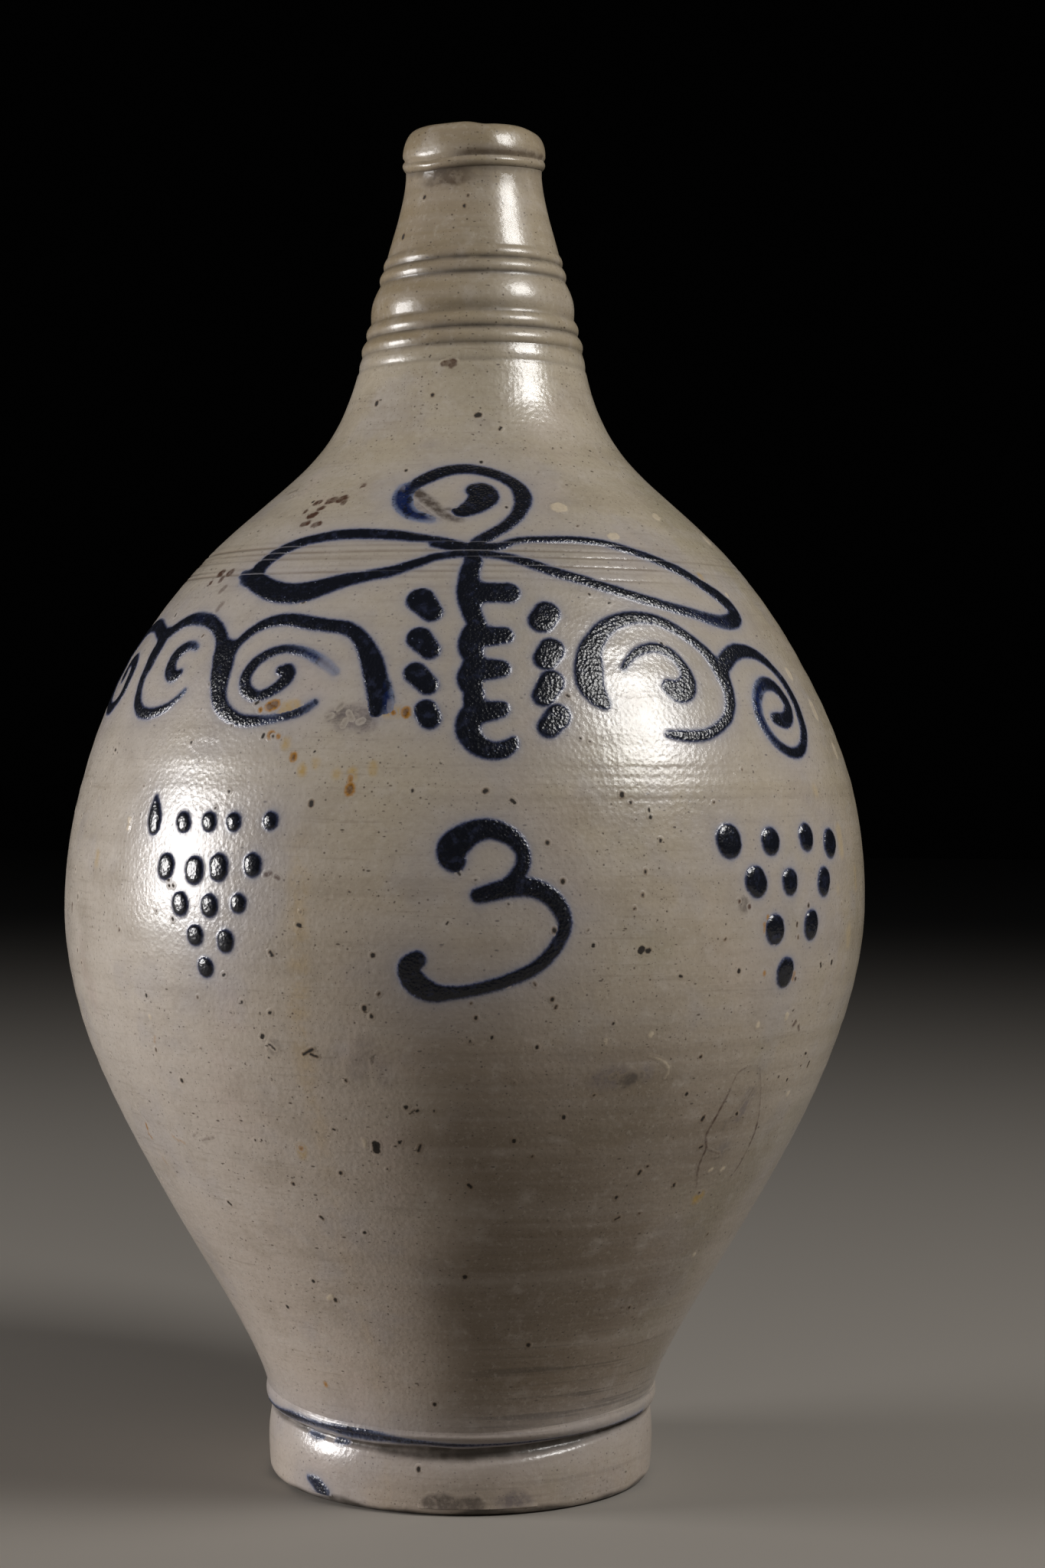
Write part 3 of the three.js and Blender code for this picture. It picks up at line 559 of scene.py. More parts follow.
# The blue line in the crease over the foot's band, and three dabs beside it.
FOOT_STROKE = [
    [(-78, 26.2, 0.7, 0.3), (-70, 25.9, 0.7, 0.2), (-64, 26, 0.9, 0.1), (-59, 26.3, 1.3, 0.1),
     (-54, 26.6, 1.3, 0.2), (-48, 26.3, 1, 0.4), (-42, 26.2, 1.2, 0.4), (-37, 26.1, 1.8, 0.35),
     (-33, 25.8, 2.1, 0.4), (-29, 25.4, 1.9, 0.4), (-24.5, 25.1, 1.6, 0.35), (-20, 24.5, 1.25, 0.35),
     (-15.5, 24, 0.85, 0.3), (-10.9, 23.7, 0.6, 0.15), (-6.4, 23.3, 0.6, 0.15), (-1.8, 22.9, 0.55),
     (2.7, 22.8, 0.4), (8, 22.9, 0.25), (20.9, 23.3, 0.22), (39, 24.2, 0.22), (52.7, 25.4, 0.2),
     (66, 26.2, 0.2)],
    [(-50, 6.6, 0.8, 0.4), (-46.5, 5.4, 2.1, 0.25), (-44.5, 4.2, 2, 0.2), (-42.6, 3.4, 1.2, 0.4)],
    [(-51, 21.4, 0.5, 0.6), (-48, 20.9, 0.9, 0.4), (-45.5, 20.8, 0.5, 0.6)],
    [(-39.5, 20.8, 0.8, 0.4), (-37.5, 20.9, 1.1, 0.3), (-35.5, 21, 0.5, 0.6)],
]


# How high each kind of slip stands, and over what width its edge rises. Every patch of slip or stain ends
# in a rim, a thin skirt on the wall. Its mesh has cells of an even size and is sunk a little into the wall.
STROKE_HEIGHT = 0.26
STROKE_SHOULDER = 1.9
DOT_HEIGHT = 0.5
DOT_SHOULDER = 1.8
DROP_HEIGHT = 0.85
DROP_SHOULDER = 2.8
FOOT_STROKE_HEIGHT = 0.21
FOOT_STROKE_SHOULDER = 0.9
MARK_SHOULDER = 0.8
SLIP_SKIRT = 0.015
FOOT_SKIRT = 0.04
MARK_SKIRT = 0.02
SLIP_RIM = 1.6
SLIP_CELL = 0.5
MARK_CELL = 0.3
SLIP_SUNK = 0.5
SLIP_WANDER = 0.16
MARK_WANDER = 0.4
PIT_WANDER = 0.2
LINE_CUT = 1.2
STROKE_BLEND = 1.8
STROKE_STEPS = 7
THINNEST_STROKE = 0.15
DROP_TAPER = 0.96
# How far from the cobalt its stain and its wide faint tint reach.
HALO_REACH = 4.0
BREATH_REACH = 20.0


def drop(angle, height, width, length, lean):
    """A drop of slip as a short thick stroke."""
    half = max(length - width, 0.3) / 2
    across = half * math.sin(math.radians(lean)) / math.radians(1) / outer_radius(height)
    up = half * math.cos(math.radians(lean)) * math.cos(outer_slope(height))
    return [(angle + across, height + up, width / 2), (angle - across, height - up, width / 2 * DROP_TAPER)]


def smooth_line(points):
    """A Catmull-Rom line through the given points, each (angle, height, half width, wash)."""
    rows = np.array([tuple(p) + (0,) * (4 - len(p)) for p in points], float)
    if len(rows) < 3:
        return rows
    ends = np.vstack([2 * rows[0] - rows[1], rows, 2 * rows[-1] - rows[-2]])
    t = np.linspace(0, 1, STROKE_STEPS, endpoint=False)[:, None]
    line = []
    for a, b, c, d in zip(ends, ends[1:], ends[2:], ends[3:]):
        line.append(0.5 * (2 * b + (c - a) * t + (2 * a - 5 * b + 4 * c - d) * t ** 2
                           + (3 * b - a - 3 * c + d) * t ** 3))
    line = np.vstack(line + [rows[-1:]])
    line[:, 2] = np.maximum(line[:, 2], THINNEST_STROKE)
    line[:, 3] = np.clip(line[:, 3], 0, 1)
    return line


def depth_field(angles, heights, lines, reach):
    """For a grid on the jug, how deep each place is inside the strokes in mm, and its wash. Where two
    strokes meet, their slip runs together."""
    grid = skin(angles[:, None], heights[None, :]) / MM
    far = -reach * 3.0
    depth = np.full(grid.shape[:2], far)
    wash = np.zeros(grid.shape[:2])
    for line in lines:
        margin = line[:, 2].max() + reach
        radius = outer_radius(line[:, 1]).min() * math.radians(1)
        turn = margin / radius
        i0, i1 = np.searchsorted(angles, (line[:, 0].min() - turn, line[:, 0].max() + turn))
        j0, j1 = np.searchsorted(heights, (line[:, 1].min() - margin, line[:, 1].max() + margin))
        if i0 >= i1 or j0 >= j1:
            continue
        places = skin(line[:, 0], line[:, 1]) / MM
        window = grid[i0:i1, j0:j1]
        own = np.full(window.shape[:2], far)
        own_wash = np.zeros(window.shape[:2])
        for i in range(len(line) - 1):
            start, run = places[i], places[i + 1] - places[i]
            near = max(line[i, 2], line[i + 1, 2]) + reach
            low, high = np.minimum(start, places[i + 1]) - near, np.maximum(start, places[i + 1]) + near
            close = np.all((window > low) & (window < high), axis=-1)
            if not close.any():
                continue
            spots = window[close]
            t = np.clip((spots - start) @ run / max(run @ run, 1e-9), 0, 1)
            gap = np.linalg.norm(spots - start - t[:, None] * run, axis=-1)
            inside = lerp(line[i, 2], line[i + 1, 2], t) - gap
            faded = lerp(line[i, 3], line[i + 1, 3], t)
            better = inside > own[close]
            own[close] = np.where(better, inside, own[close])
            own_wash[close] = np.where(better, faded, own_wash[close])
        before = depth[i0:i1, j0:j1]
        share = np.clip(0.5 + 0.5 * (own - before) / STROKE_BLEND, 0, 1)
        wash[i0:i1, j0:j1] = wash[i0:i1, j0:j1] * (1 - share) + own_wash * share
        depth[i0:i1, j0:j1] = before * (1 - share) + own * share + STROKE_BLEND * share * (1 - share)
    return depth, wash


def contour_faces(field, level):
    """Marching squares: the faces of a grid above a level. Returns grid places and faces."""
    above = field > level
    places, faces, known = [], [], {}

    def corner(a):
        if a not in known:
            known[a] = len(places)
            places.append((float(a[0]), float(a[1])))
        return known[a]

    def crossing(a, b):
        key = (min(a, b), max(a, b))
        if key not in known:
            known[key] = len(places)
            share = (level - field[a]) / (field[b] - field[a])
            places.append((a[0] + (b[0] - a[0]) * share, a[1] + (b[1] - a[1]) * share))
        return known[key]

    touched = above[:-1, :-1] | above[1:, :-1] | above[1:, 1:] | above[:-1, 1:]
    for i, j in zip(*np.nonzero(touched)):
        ring = ((i, j), (i + 1, j), (i + 1, j + 1), (i, j + 1))
        face = []
        for a, b in zip(ring, ring[1:] + ring[:1]):
            if above[a]:
                face.append(corner(a))
            if above[a] != above[b]:
                face.append(crossing(a, b))
        if len(face) > 2:
            faces.append(face)
    return np.array(places), faces


def closed_below(faces, count):
    """Adds the underside and the rim to an open sheet of faces, with its copy at index + count."""
    edges = set()
    for face in faces:
        for a, b in zip(face, face[1:] + face[:1]):
            edges.symmetric_difference_update({(a, b)} if (b, a) not in edges else {(b, a)})
    under = [[v + count for v in reversed(face)] for face in faces]
    rim = [[b, a, a + count, b + count] for a, b in edges]
    return faces + under + rim


def sampled(values, places):
    """Bilinear values of a grid at fractional places."""
    i = np.clip(places[:, 0].astype(int), 0, values.shape[0] - 2)
    j = np.clip(places[:, 1].astype(int), 0, values.shape[1] - 2)
    u, v = places[:, 0] - i, places[:, 1] - j
    return (values[i, j] * (1 - u) * (1 - v) + values[i + 1, j] * u * (1 - v)
            + values[i, j + 1] * (1 - u) * v + values[i + 1, j + 1] * u * v)


def slip_height(depth, raised, shoulder, rim, skirt):
    """A bead of slip: a rounded edge that flattens on top, on a thin skirt of stained glaze."""
    under = np.interp(depth, (-rim, -0.62 * rim, 0), (-0.045, 0.6 * skirt, skirt))
    pillow = np.sqrt(1 - (1 - np.clip(depth / shoulder, 0, 1)) ** 2)
    return under + raised * pillow


def trailed(name, clusters, raised, shoulder, skirt, wander=SLIP_WANDER, cell=SLIP_CELL, layer=0.0, cut=0.0,
            rim=SLIP_RIM):
    """One raised piece of decoration. Each cluster of strokes is laid on its own patch of the surface, with a
    narrow stained rim. Wander roughens its outline, layer lifts it over what it lies on, and cut says how
    far the wiped lines bite into it."""
    tops, belows, faces = [], [], []
    values = {"depth": [], "wash": [], "halo": [], "breath": [], "line": []}
    count = 0
    for strokes in clusters:
        lines = [smooth_line(stroke) for stroke in strokes]
        angle, height, deep, faded, blue, patch = slip_patch(lines, cell, rim)
        base = skin(angle, height)
        rough = np.array([noise.noise(Vector(p) * 620) + 0.6 * noise.noise(Vector(p) * 1700) for p in base])
        inner = deep + wander * rough * portion(deep, -rim, rim)
        if cut:
            inner = inner - cut * np.clip(wiped(angle, height) / LINE_CUTS_AT, 0, 1) ** 2
        lift = slip_height(inner, raised * (1 - 0.6 * faded), shoulder, rim, skirt) + layer
        lift = lift + 0.05 * raised * rough * portion(inner, 0, shoulder)
        tops.append(skin(angle, height, lift))
        belows.append(skin(angle, height, np.full(len(angle), -SLIP_SUNK)))
        faces += [[v + count for v in face] for face in patch]
        gap = np.clip(-blue, 0, None)
        for value, amounts in (("depth", inner), ("wash", faded), ("halo", halo_of(gap)),
                               ("breath", breath_of(gap)), ("line", stain_of_lines(angle, height))):
            values[value].append(amounts)
        count += len(angle)
    obj = new_object(name, np.vstack(tops + belows), closed_below(faces, count))
    for value, amounts in values.items():
        keep_value(obj, value, np.tile(np.concatenate(amounts), 2))
    return obj


def slip_patch(lines, cell, rim):
    """The angles, heights, depths, washes, depths in the cobalt near by and faces of one patch."""
    rows = np.vstack(lines)
    margin = rows[:, 2].max() + rim + 2
    radii = outer_radius(rows[:, 1]) * math.radians(1)
    step = cell / radii.max()
    rise = cell * 0.85
    turn = margin / radii.min()
    angles = np.arange(rows[:, 0].min() - turn, rows[:, 0].max() + turn, step)
    heights = np.arange(max(rows[:, 1].min() - margin, BASE_EDGE - 1), rows[:, 1].max() + margin, rise)
    depth, wash = depth_field(angles, heights, lines, rim + 1)
    blue = depth_field(angles, heights, every_line, BREATH_REACH)[0]
    places, faces = contour_faces(depth, -rim)
    return (angles[0] + places[:, 0] * step, heights[0] + places[:, 1] * rise, sampled(depth, places),
            sampled(wash, places), sampled(blue, places), faces)


def halo_of(gap):
    """The stain close round the slip, at a distance from it in mm."""
    return np.clip(1 - gap / HALO_REACH, 0, 1) ** 2


def breath_of(gap):
    """The wide faint tint that the cobalt gave the glaze round it."""
    return np.clip(1 - gap / BREATH_REACH, 0, 1) ** 1.5


def stain_of_lines(angle, height):
    """How dark the wiped lines are with dirt."""
    return np.clip(wiped(angle, height) / LINE_STAINS_AT, 0, 1)


def grime_and_shade_of(angle, height):
    """Dirt round the base's edge, and darkening in the foot's groove, the neck's creases and hollow and under
    the lip's bead that is partly dirt and partly painted shade, strongest in front.
    """
    turn = np.radians(angle)
    groove = bell(height - knots(GROOVE_HEIGHTS, angle, 360), knots(GROOVE_HALF_HEIGHTS, angle, 360))
    base = np.clip(1 - (height - 1.1 - 0.8 * np.sin(7 * turn) - 0.7 * np.sin(17 * turn)) / 1.4, 0, 1)
    facing = 0.72 + 0.28 * bell(angle - 8, 38)
    creases = 0
    crease_height = NECK_BASE[1]
    for rise, strength in zip((0,) + CORDON_HEIGHTS, CREASE_GRIME_AND_SHADE):
        crease_height += rise
        creases = creases + strength * facing * bell(height - crease_height, 0.95)
    creases = creases + 0.42 * bell(angle - 2, 34) * bell(height - DARK_BAND, 1.6)
    creases = creases + 0.35 * facing * bell(height - SHOULDER_CREASE, 0.6)
    creases = creases + 0.7 * bell(height - LIP_BASE, 0.5)
    return np.clip(1.4 * groove + base + creases, 0, 1)


def wash_of(angle, height):
    """The brown wash that ran down from the lip, and a darker band along the crease over its bead, from the
    front round to the right.
    """
    turn = np.radians(angle)
    top = portion(443, height, 1.5)
    low = 435.2 + 0.9 * np.sin(5 * turn) + 0.8 * np.sin(13 * turn + 1)
    thick = 1.1 * portion(height, low, 1.8) * top * bell(angle + 25, 17)
    thin = portion(height, low - 4, 5) * top * (0.25 + 0.2 * bell(angle + 12, 45))
    along_crease = portion(angle, -18, 14) * portion(86, angle, 16)
    crease = along_crease * bell(height - LIP_BASE - LIP_BEAD_HEIGHT - 1.1, 1.5)
    return np.clip(thick + thin + 0.9 * crease, 0, 1)


def ring_shell(name, outline, inner, columns, tinted=True):
    """A closed turned piece: its outside outline, upward, carries the throwing marks, and its inside
    outline, downward, is plain."""
    angles = np.arange(columns) * 360 / columns - 180
    across = angles[:, None]
    heights = outline[None, :, 1]
    outside = placed(across, outline[None, :, 0], heights, outer_slope(heights), hand(across, heights))
    inside = placed(across, inner[None, :, 0], inner[None, :, 1], 0, 0 * across)
    points = np.concatenate([outside, inside], axis=1)
    rows = points.shape[1]
    i, j = np.meshgrid(np.arange(columns), np.arange(rows), indexing="ij")
    k, m = (i + 1) % columns, (j + 1) % rows
    faces = np.stack([i * rows + j, k * rows + j, k * rows + m, i * rows + m], -1).reshape(-1, 4)
    obj = new_object(name, points.reshape(-1, 3), faces.tolist())
    full_heights = np.concatenate([outline[:, 1], inner[:, 1]])[None, :]
    outer = np.arange(rows)[None, :] < len(outline)
    for value, amounts in (("grime_and_shade", grime_and_shade_of), ("brown", wash_of), ("line", stain_of_lines)):
        keep_value(obj, value, (outer * amounts(across, full_heights)).ravel())
    gap = np.full((columns, rows), BREATH_REACH)
    if tinted:
        depth, _ = depth_field(angles, outline[:, 1], every_line, BREATH_REACH)
        gap[:, :len(outline)] = np.clip(-depth, 0, None)
    keep_value(obj, "halo", halo_of(gap).ravel())
    keep_value(obj, "breath", breath_of(gap).ravel())
    join_axis(obj)
    obj.data.set_sharp_from_angle(angle=math.radians(50))
    return obj


def join_axis(obj):
    """Merges any points that meet on the axis."""
    mesh = bmesh.new()
    mesh.from_mesh(obj.data)
    bmesh.ops.remove_doubles(mesh, verts=mesh.verts, dist=1e-6)
    bmesh.ops.recalc_face_normals(mesh, faces=mesh.faces)
    mesh.to_mesh(obj.data)
    mesh.free()
    obj.data.shade_smooth()


def respaced(outline, spacing):
    """The same line with points set apart by spacing(height), in mm along it."""
    steps = np.linalg.norm(np.diff(outline, axis=0), axis=1)
    length = np.concatenate([[0], np.cumsum(steps)])
    dense = np.linspace(0, length[-1], int(length[-1] / 0.1))
    heights = np.interp(dense, length, outline[:, 1])
    count = np.concatenate([[0], np.cumsum(np.diff(dense) / spacing(heights[1:]))])
    places = np.interp(np.linspace(0, count[-1], int(math.ceil(count[-1])) + 1), count, dense)
    return np.column_stack([np.interp(places, length, outline[:, k]) for k in (0, 1)])


def between(outline, low, high):
    """The part of an upward line between two heights, with its ends exactly there."""
    ends = [np.interp(h, outline[:, 1], outline[:, 0]) for h in (low, high)]
    middle = outline[(outline[:, 1] > low + 0.01) & (outline[:, 1] < high - 0.01)]
    return np.vstack([[ends[0], low], middle, [ends[1], high]])


def fine_rows(height):
    """The spacing of the outside's rows at a height."""
    on_belly = (height > BELLY_ROWS[0]) & (height < BELLY_ROWS[1])
    on_shoulder = (height > SHOULDER_ROWS[0]) & (height < SHOULDER_ROWS[1])
    spacing = np.where(on_belly | (height > NECK_ROWS_FROM), CLOSE_SPACING, OUTSIDE_SPACING)
    return np.where(on_shoulder, CLOSEST_SPACING, spacing)


def even_rows(height):
    return INSIDE_SPACING + 0 * height


def wall_section(name, low, high):
    return ring_shell(name, respaced(between(wall_line, low, high), fine_rows),
                      respaced(between(inner_line, low, high), even_rows)[::-1], WALL_COLUMNS)


def add_vessel():
    """The foot, the two sections of the wall, the neck and the lip."""
    foot_inner_radius = np.interp(FOOT_TOP, inner_line[:, 1], inner_line[:, 0])
    corner = (foot_inner_radius - FLOOR_CORNER, FLOOR + FLOOR_CORNER)
    foot_inside = joined(quarter(corner, FLOOR_CORNER, -90, 10), [[foot_inner_radius, FOOT_TOP]])[::-1]
    foot_inside = np.vstack([foot_inside, [[0, FLOOR], [0, 0]]])
    foot = ring_shell("foot_shell", foot_line, foot_inside, WALL_COLUMNS)
    lower = wall_section("lower_body_shell", FOOT_TOP, BELLY_JOINT)
    upper = wall_section("upper_body_shell", BELLY_JOINT, NECK_BASE[1])
    neck_inner_radius = np.interp(NECK_BASE[1], inner_line[:, 1], inner_line[:, 0])
    bore = bezier((neck_inner_radius, NECK_BASE[1]),
                  (neck_inner_radius - BORE_PULL_IN, BORE_PULL_HEIGHTS[0]),
                  (BORE_RADIUS, BORE_PULL_HEIGHTS[1]), (BORE_RADIUS, BORE_STRAIGHT_FROM), 14)
    bore = np.vstack([bore, [[BORE_RADIUS, LIP_BASE]]])[::-1]
    neck = ring_shell("neck_shell", neck_line, bore, NECK_COLUMNS, tinted=False)
    lip = ring_shell("lip_shell", lip_line, np.array([[BORE_RADIUS, LIP_BASE]]), NECK_COLUMNS, tinted=False)
    for obj, node, slot in ((foot, "foot_base", "body_glaze"), (lower, "lower_body", "body_glaze"),
                            (upper, "upper_body", "body_glaze"), (neck, "neck", "neck_glaze"),
                            (lip, "lip", "neck_glaze")):
        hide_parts(node)
        settled(obj)
    return foot, lower, upper, neck, lip


def settled(obj):
    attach(obj, "root")


def centripetal(points, count):
    """A centripetal Catmull-Rom line through the points, evenly spaced along its length."""
    points = np.array(points, float)
    ends = np.vstack([2 * points[0] - points[1], points, 2 * points[-1] - points[-2]])
    line = []
    for a, b, c, d in zip(ends, ends[1:], ends[2:], ends[3:]):
        gaps = [max(np.linalg.norm(q - p) ** 0.5, 1e-4) for p, q in ((a, b), (b, c), (c, d))]
        out = ((b - a) / gaps[0] - (c - a) / (gaps[0] + gaps[1]) + (c - b) / gaps[1]) * gaps[1]
        into = ((c - b) / gaps[1] - (d - b) / (gaps[1] + gaps[2]) + (d - c) / gaps[2]) * gaps[1]
        t = np.linspace(0, 1, 60, endpoint=False)[:, None]
        line.append(b + out * t + (3 * (c - b) - 2 * out - into) * t ** 2
                    + (2 * (b - c) + out + into) * t ** 3)
    line = np.vstack(line + [ends[-2:-1]])
    length = np.concatenate([[0], np.cumsum(np.linalg.norm(np.diff(line, axis=0), axis=1))])
    places = np.linspace(0, length[-1], count)
    return np.column_stack([np.interp(places, length, line[:, k]) for k in (0, 1)])


def eased(share, start, end):
    t = np.clip((share - start) / (end - start), 0, 1)
    return t * t * (3 - 2 * t)


def tapered(share, root, middle, foot):
    """A size of the strap, from its root through its middle to its foot."""
    rootward = lerp(root, middle, eased(share, 0, HANDLE_ROOT_END))
    footward = lerp(middle, foot, eased(share, HANDLE_FOOT_START, 1))
    return np.where(share > HANDLE_FOOT_START, footward, rootward)


def handle_strap():
    """The pulled strap: rings of points round its route, in mm."""
    top_out = outer_radius(HANDLE_TOP)
    foot_out = outer_radius(HANDLE_FOOT)
    reach = foot_out + HANDLE_OVERHANG
    middle = HANDLE_FOOT + (HANDLE_TOP - HANDLE_FOOT) * GRIP_MIDDLE
    route = centripetal([
        (top_out - HANDLE_BURY, HANDLE_TOP),
        (lerp(top_out, reach, CREST_START_OUT), HANDLE_TOP + HANDLE_CREST),
        (lerp(top_out, reach, CREST_END[0]), HANDLE_TOP + HANDLE_CREST * CREST_END[1]),
        (lerp(top_out, reach, KNUCKLE[0]), lerp(middle, HANDLE_TOP, KNUCKLE[1])),
        (reach, middle),
        (lerp(foot_out, reach, RETURN[0]), lerp(HANDLE_FOOT, middle, RETURN[1])),
        (foot_out - HANDLE_BURY, HANDLE_FOOT - HANDLE_BURY)], HANDLE_STEPS)
    tangent = np.gradient(route, axis=0)
    tangent /= np.linalg.norm(tangent, axis=1)[:, None]
    outward = np.column_stack([-tangent[:, 1], tangent[:, 0]])
    share = np.linspace(0, 1, len(route))
    width = tapered(share, HANDLE_ROOT_WIDTH, HANDLE_WIDTH, HANDLE_FOOT_WIDTH)
    thick = tapered(share, HANDLE_ROOT_THICKNESS, HANDLE_THICKNESS, HANDLE_FOOT_THICKNESS)
    turn = np.linspace(0, 2 * np.pi, HANDLE_SIDES, endpoint=False)
    flat = np.sign(np.cos(turn)) * np.abs(np.cos(turn)) ** EDGE_SQUARENESS / 2
    deep = np.sign(np.sin(turn)) * np.abs(np.sin(turn)) ** FACE_SQUARENESS / 2
    across = width[:, None] * flat[None, :]
    pulled = PULLED_LINES * np.cos(flat * 6 * np.pi) * np.clip(1 - np.abs(flat) * 2, 0, 1)
    dished = HANDLE_GROOVE * np.cos(np.pi * flat) ** 2
    off = thick[:, None] * deep[None, :] + np.where(deep > 0, -1, 0)[None, :] * (dished + pulled)[None, :]
    off = off * (1 + 0.02 * np.sin(share * 23)[:, None])
    ring_y = route[:, 0:1] + outward[:, 0:1] * off
    ring_z = route[:, 1:2] + outward[:, 1:2] * off
    sway = HANDLE_SWAY * np.sin(share * 5.2)[:, None]
    return np.stack([across + sway, ring_y, ring_z], -1)


def ellipsoid(obj_mesh, centre, radii, tip):
    """Adds an ellipsoid, tipped back about X, to a mesh being built. Lengths in mm."""
    shape = Matrix.Translation(Vector(centre) * MM) @ Matrix.Rotation(tip, 4, "X")
    shape = shape @ Matrix.Diagonal(Vector([r * MM for r in radii] + [1]))
    bmesh.ops.create_icosphere(obj_mesh, subdivisions=5, radius=1, matrix=shape)


def add_handle():
    """The strap and its two worked pads as one piece of clay, smoothed and pressed to the wall."""
    rings = handle_strap()
    count, sides = rings.shape[:2]
    mesh = bmesh.new()
    corners = [[mesh.verts.new(Vector(p) * MM) for p in ring] for ring in rings]
    for a, b in zip(corners, corners[1:]):
        for i in range(sides):
            k = (i + 1) % sides
            mesh.faces.new((a[i], a[k], b[k], b[i]))
    mesh.faces.new(corners[0][::-1])
    mesh.faces.new(corners[-1])
    slope = float(outer_slope(HANDLE_FOOT))
    ellipsoid(mesh, (0, float(outer_radius(HANDLE_FOOT)), HANDLE_FOOT), FOOT_PAD, slope)
    ellipsoid(mesh, (0, float(outer_radius(HANDLE_TOP - 1)), HANDLE_TOP - 1), ROOT_PAD, ROOT_PAD_TIP)
    bmesh.ops.recalc_face_normals(mesh, faces=mesh.faces)
    data = bpy.data.meshes.new("handle_raw")
    mesh.to_mesh(data)
    mesh.free()
    raw = bpy.data.objects.new("handle_raw", data)
    bpy.context.scene.collection.objects.link(raw)
    remesh = raw.modifiers.new("one_clay", "REMESH")
    remesh.mode = "VOXEL"
    remesh.voxel_size = HANDLE_VOXEL * MM
    soft = raw.modifiers.new("sponged", "SMOOTH")
    soft.iterations = HANDLE_SMOOTHING
    soft.factor = 0.5
    built = bpy.data.meshes.new_from_object(raw.evaluated_get(bpy.context.evaluated_depsgraph_get()))
    bpy.data.objects.remove(raw)
    obj = bpy.data.objects.new("strap_handle", built)
    bpy.context.scene.collection.objects.link(obj)
    built.shade_smooth()
    press_to_wall(obj)
    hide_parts("handle")
    settled(obj)
    return obj


def press_to_wall(obj):
    """Brings the handle's clay down to the wall: what lies inside it stays just under the surface, and a
    thumb's press marks the foot of the strap."""
    count = len(obj.data.vertices)
    flat = np.empty(count * 3)
    obj.data.vertices.foreach_get("co", flat)
    points = flat.reshape(-1, 3) / MM
    radius = np.hypot(points[:, 0], points[:, 1])
    angle = np.degrees(np.arctan2(points[:, 0], -points[:, 1]))
    height = points[:, 2]
    tip = outer_slope(height)
    gap = (radius - outer_radius(height)) * np.cos(tip)
    depth, half_width, half_height = THUMB_PRESS
    above = height - (HANDLE_FOOT - 2)
    press = depth * np.exp(-(points[:, 0] / half_width) ** 2 - (above / half_height) ** 2)
    press = press * portion(gap, 0, 2)
    move = np.where(gap < -SHELL_BITE, -SHELL_BITE, gap) - press - gap
    out = np.column_stack([np.cos(tip) * points[:, 0] / radius, np.cos(tip) * points[:, 1] / radius,
                           np.sin(tip)])
    rough = np.array([noise.noise(Vector(p) * 0.09) + 0.4 * noise.noise(Vector(p) * 0.35) for p in points])
    points = points + out * (move + HANDLE_ROUGHNESS * rough * portion(gap, 0, 3))[:, None]
    obj.data.vertices.foreach_set("co", (points * MM).ravel())
    obj.data.update()


# Marks of the firing and of long use. A spot is (angle, height, width, length, lean of its top to the right,
# fade), of which the last three may be left out, and a list is a stroke like those of the decoration.
def mark(row):
    """The strokes of one spot or line."""
    return [row] if isinstance(row, list) else [spot(*row)]


def spot(angle, height, width, length=0, lean=0, fade=0.0):
    ends = drop(angle, height, width, max(length, width * 1.05), lean)
    return [end + (fade,) for end in ends]


def small_pits(count):
    """Little burst pits strewn over the whole wall."""
    draw = random.Random(11)
    pits = []
    for _ in range(count):
        size = 0.5 + 0.75 * draw.random() ** 2.4
        pits.append((draw.uniform(-180, 180), draw.triangular(40, 362, 175), size,
                     size * draw.uniform(1, 2.1), draw.uniform(-80, 80)))
    return tuple(pits)


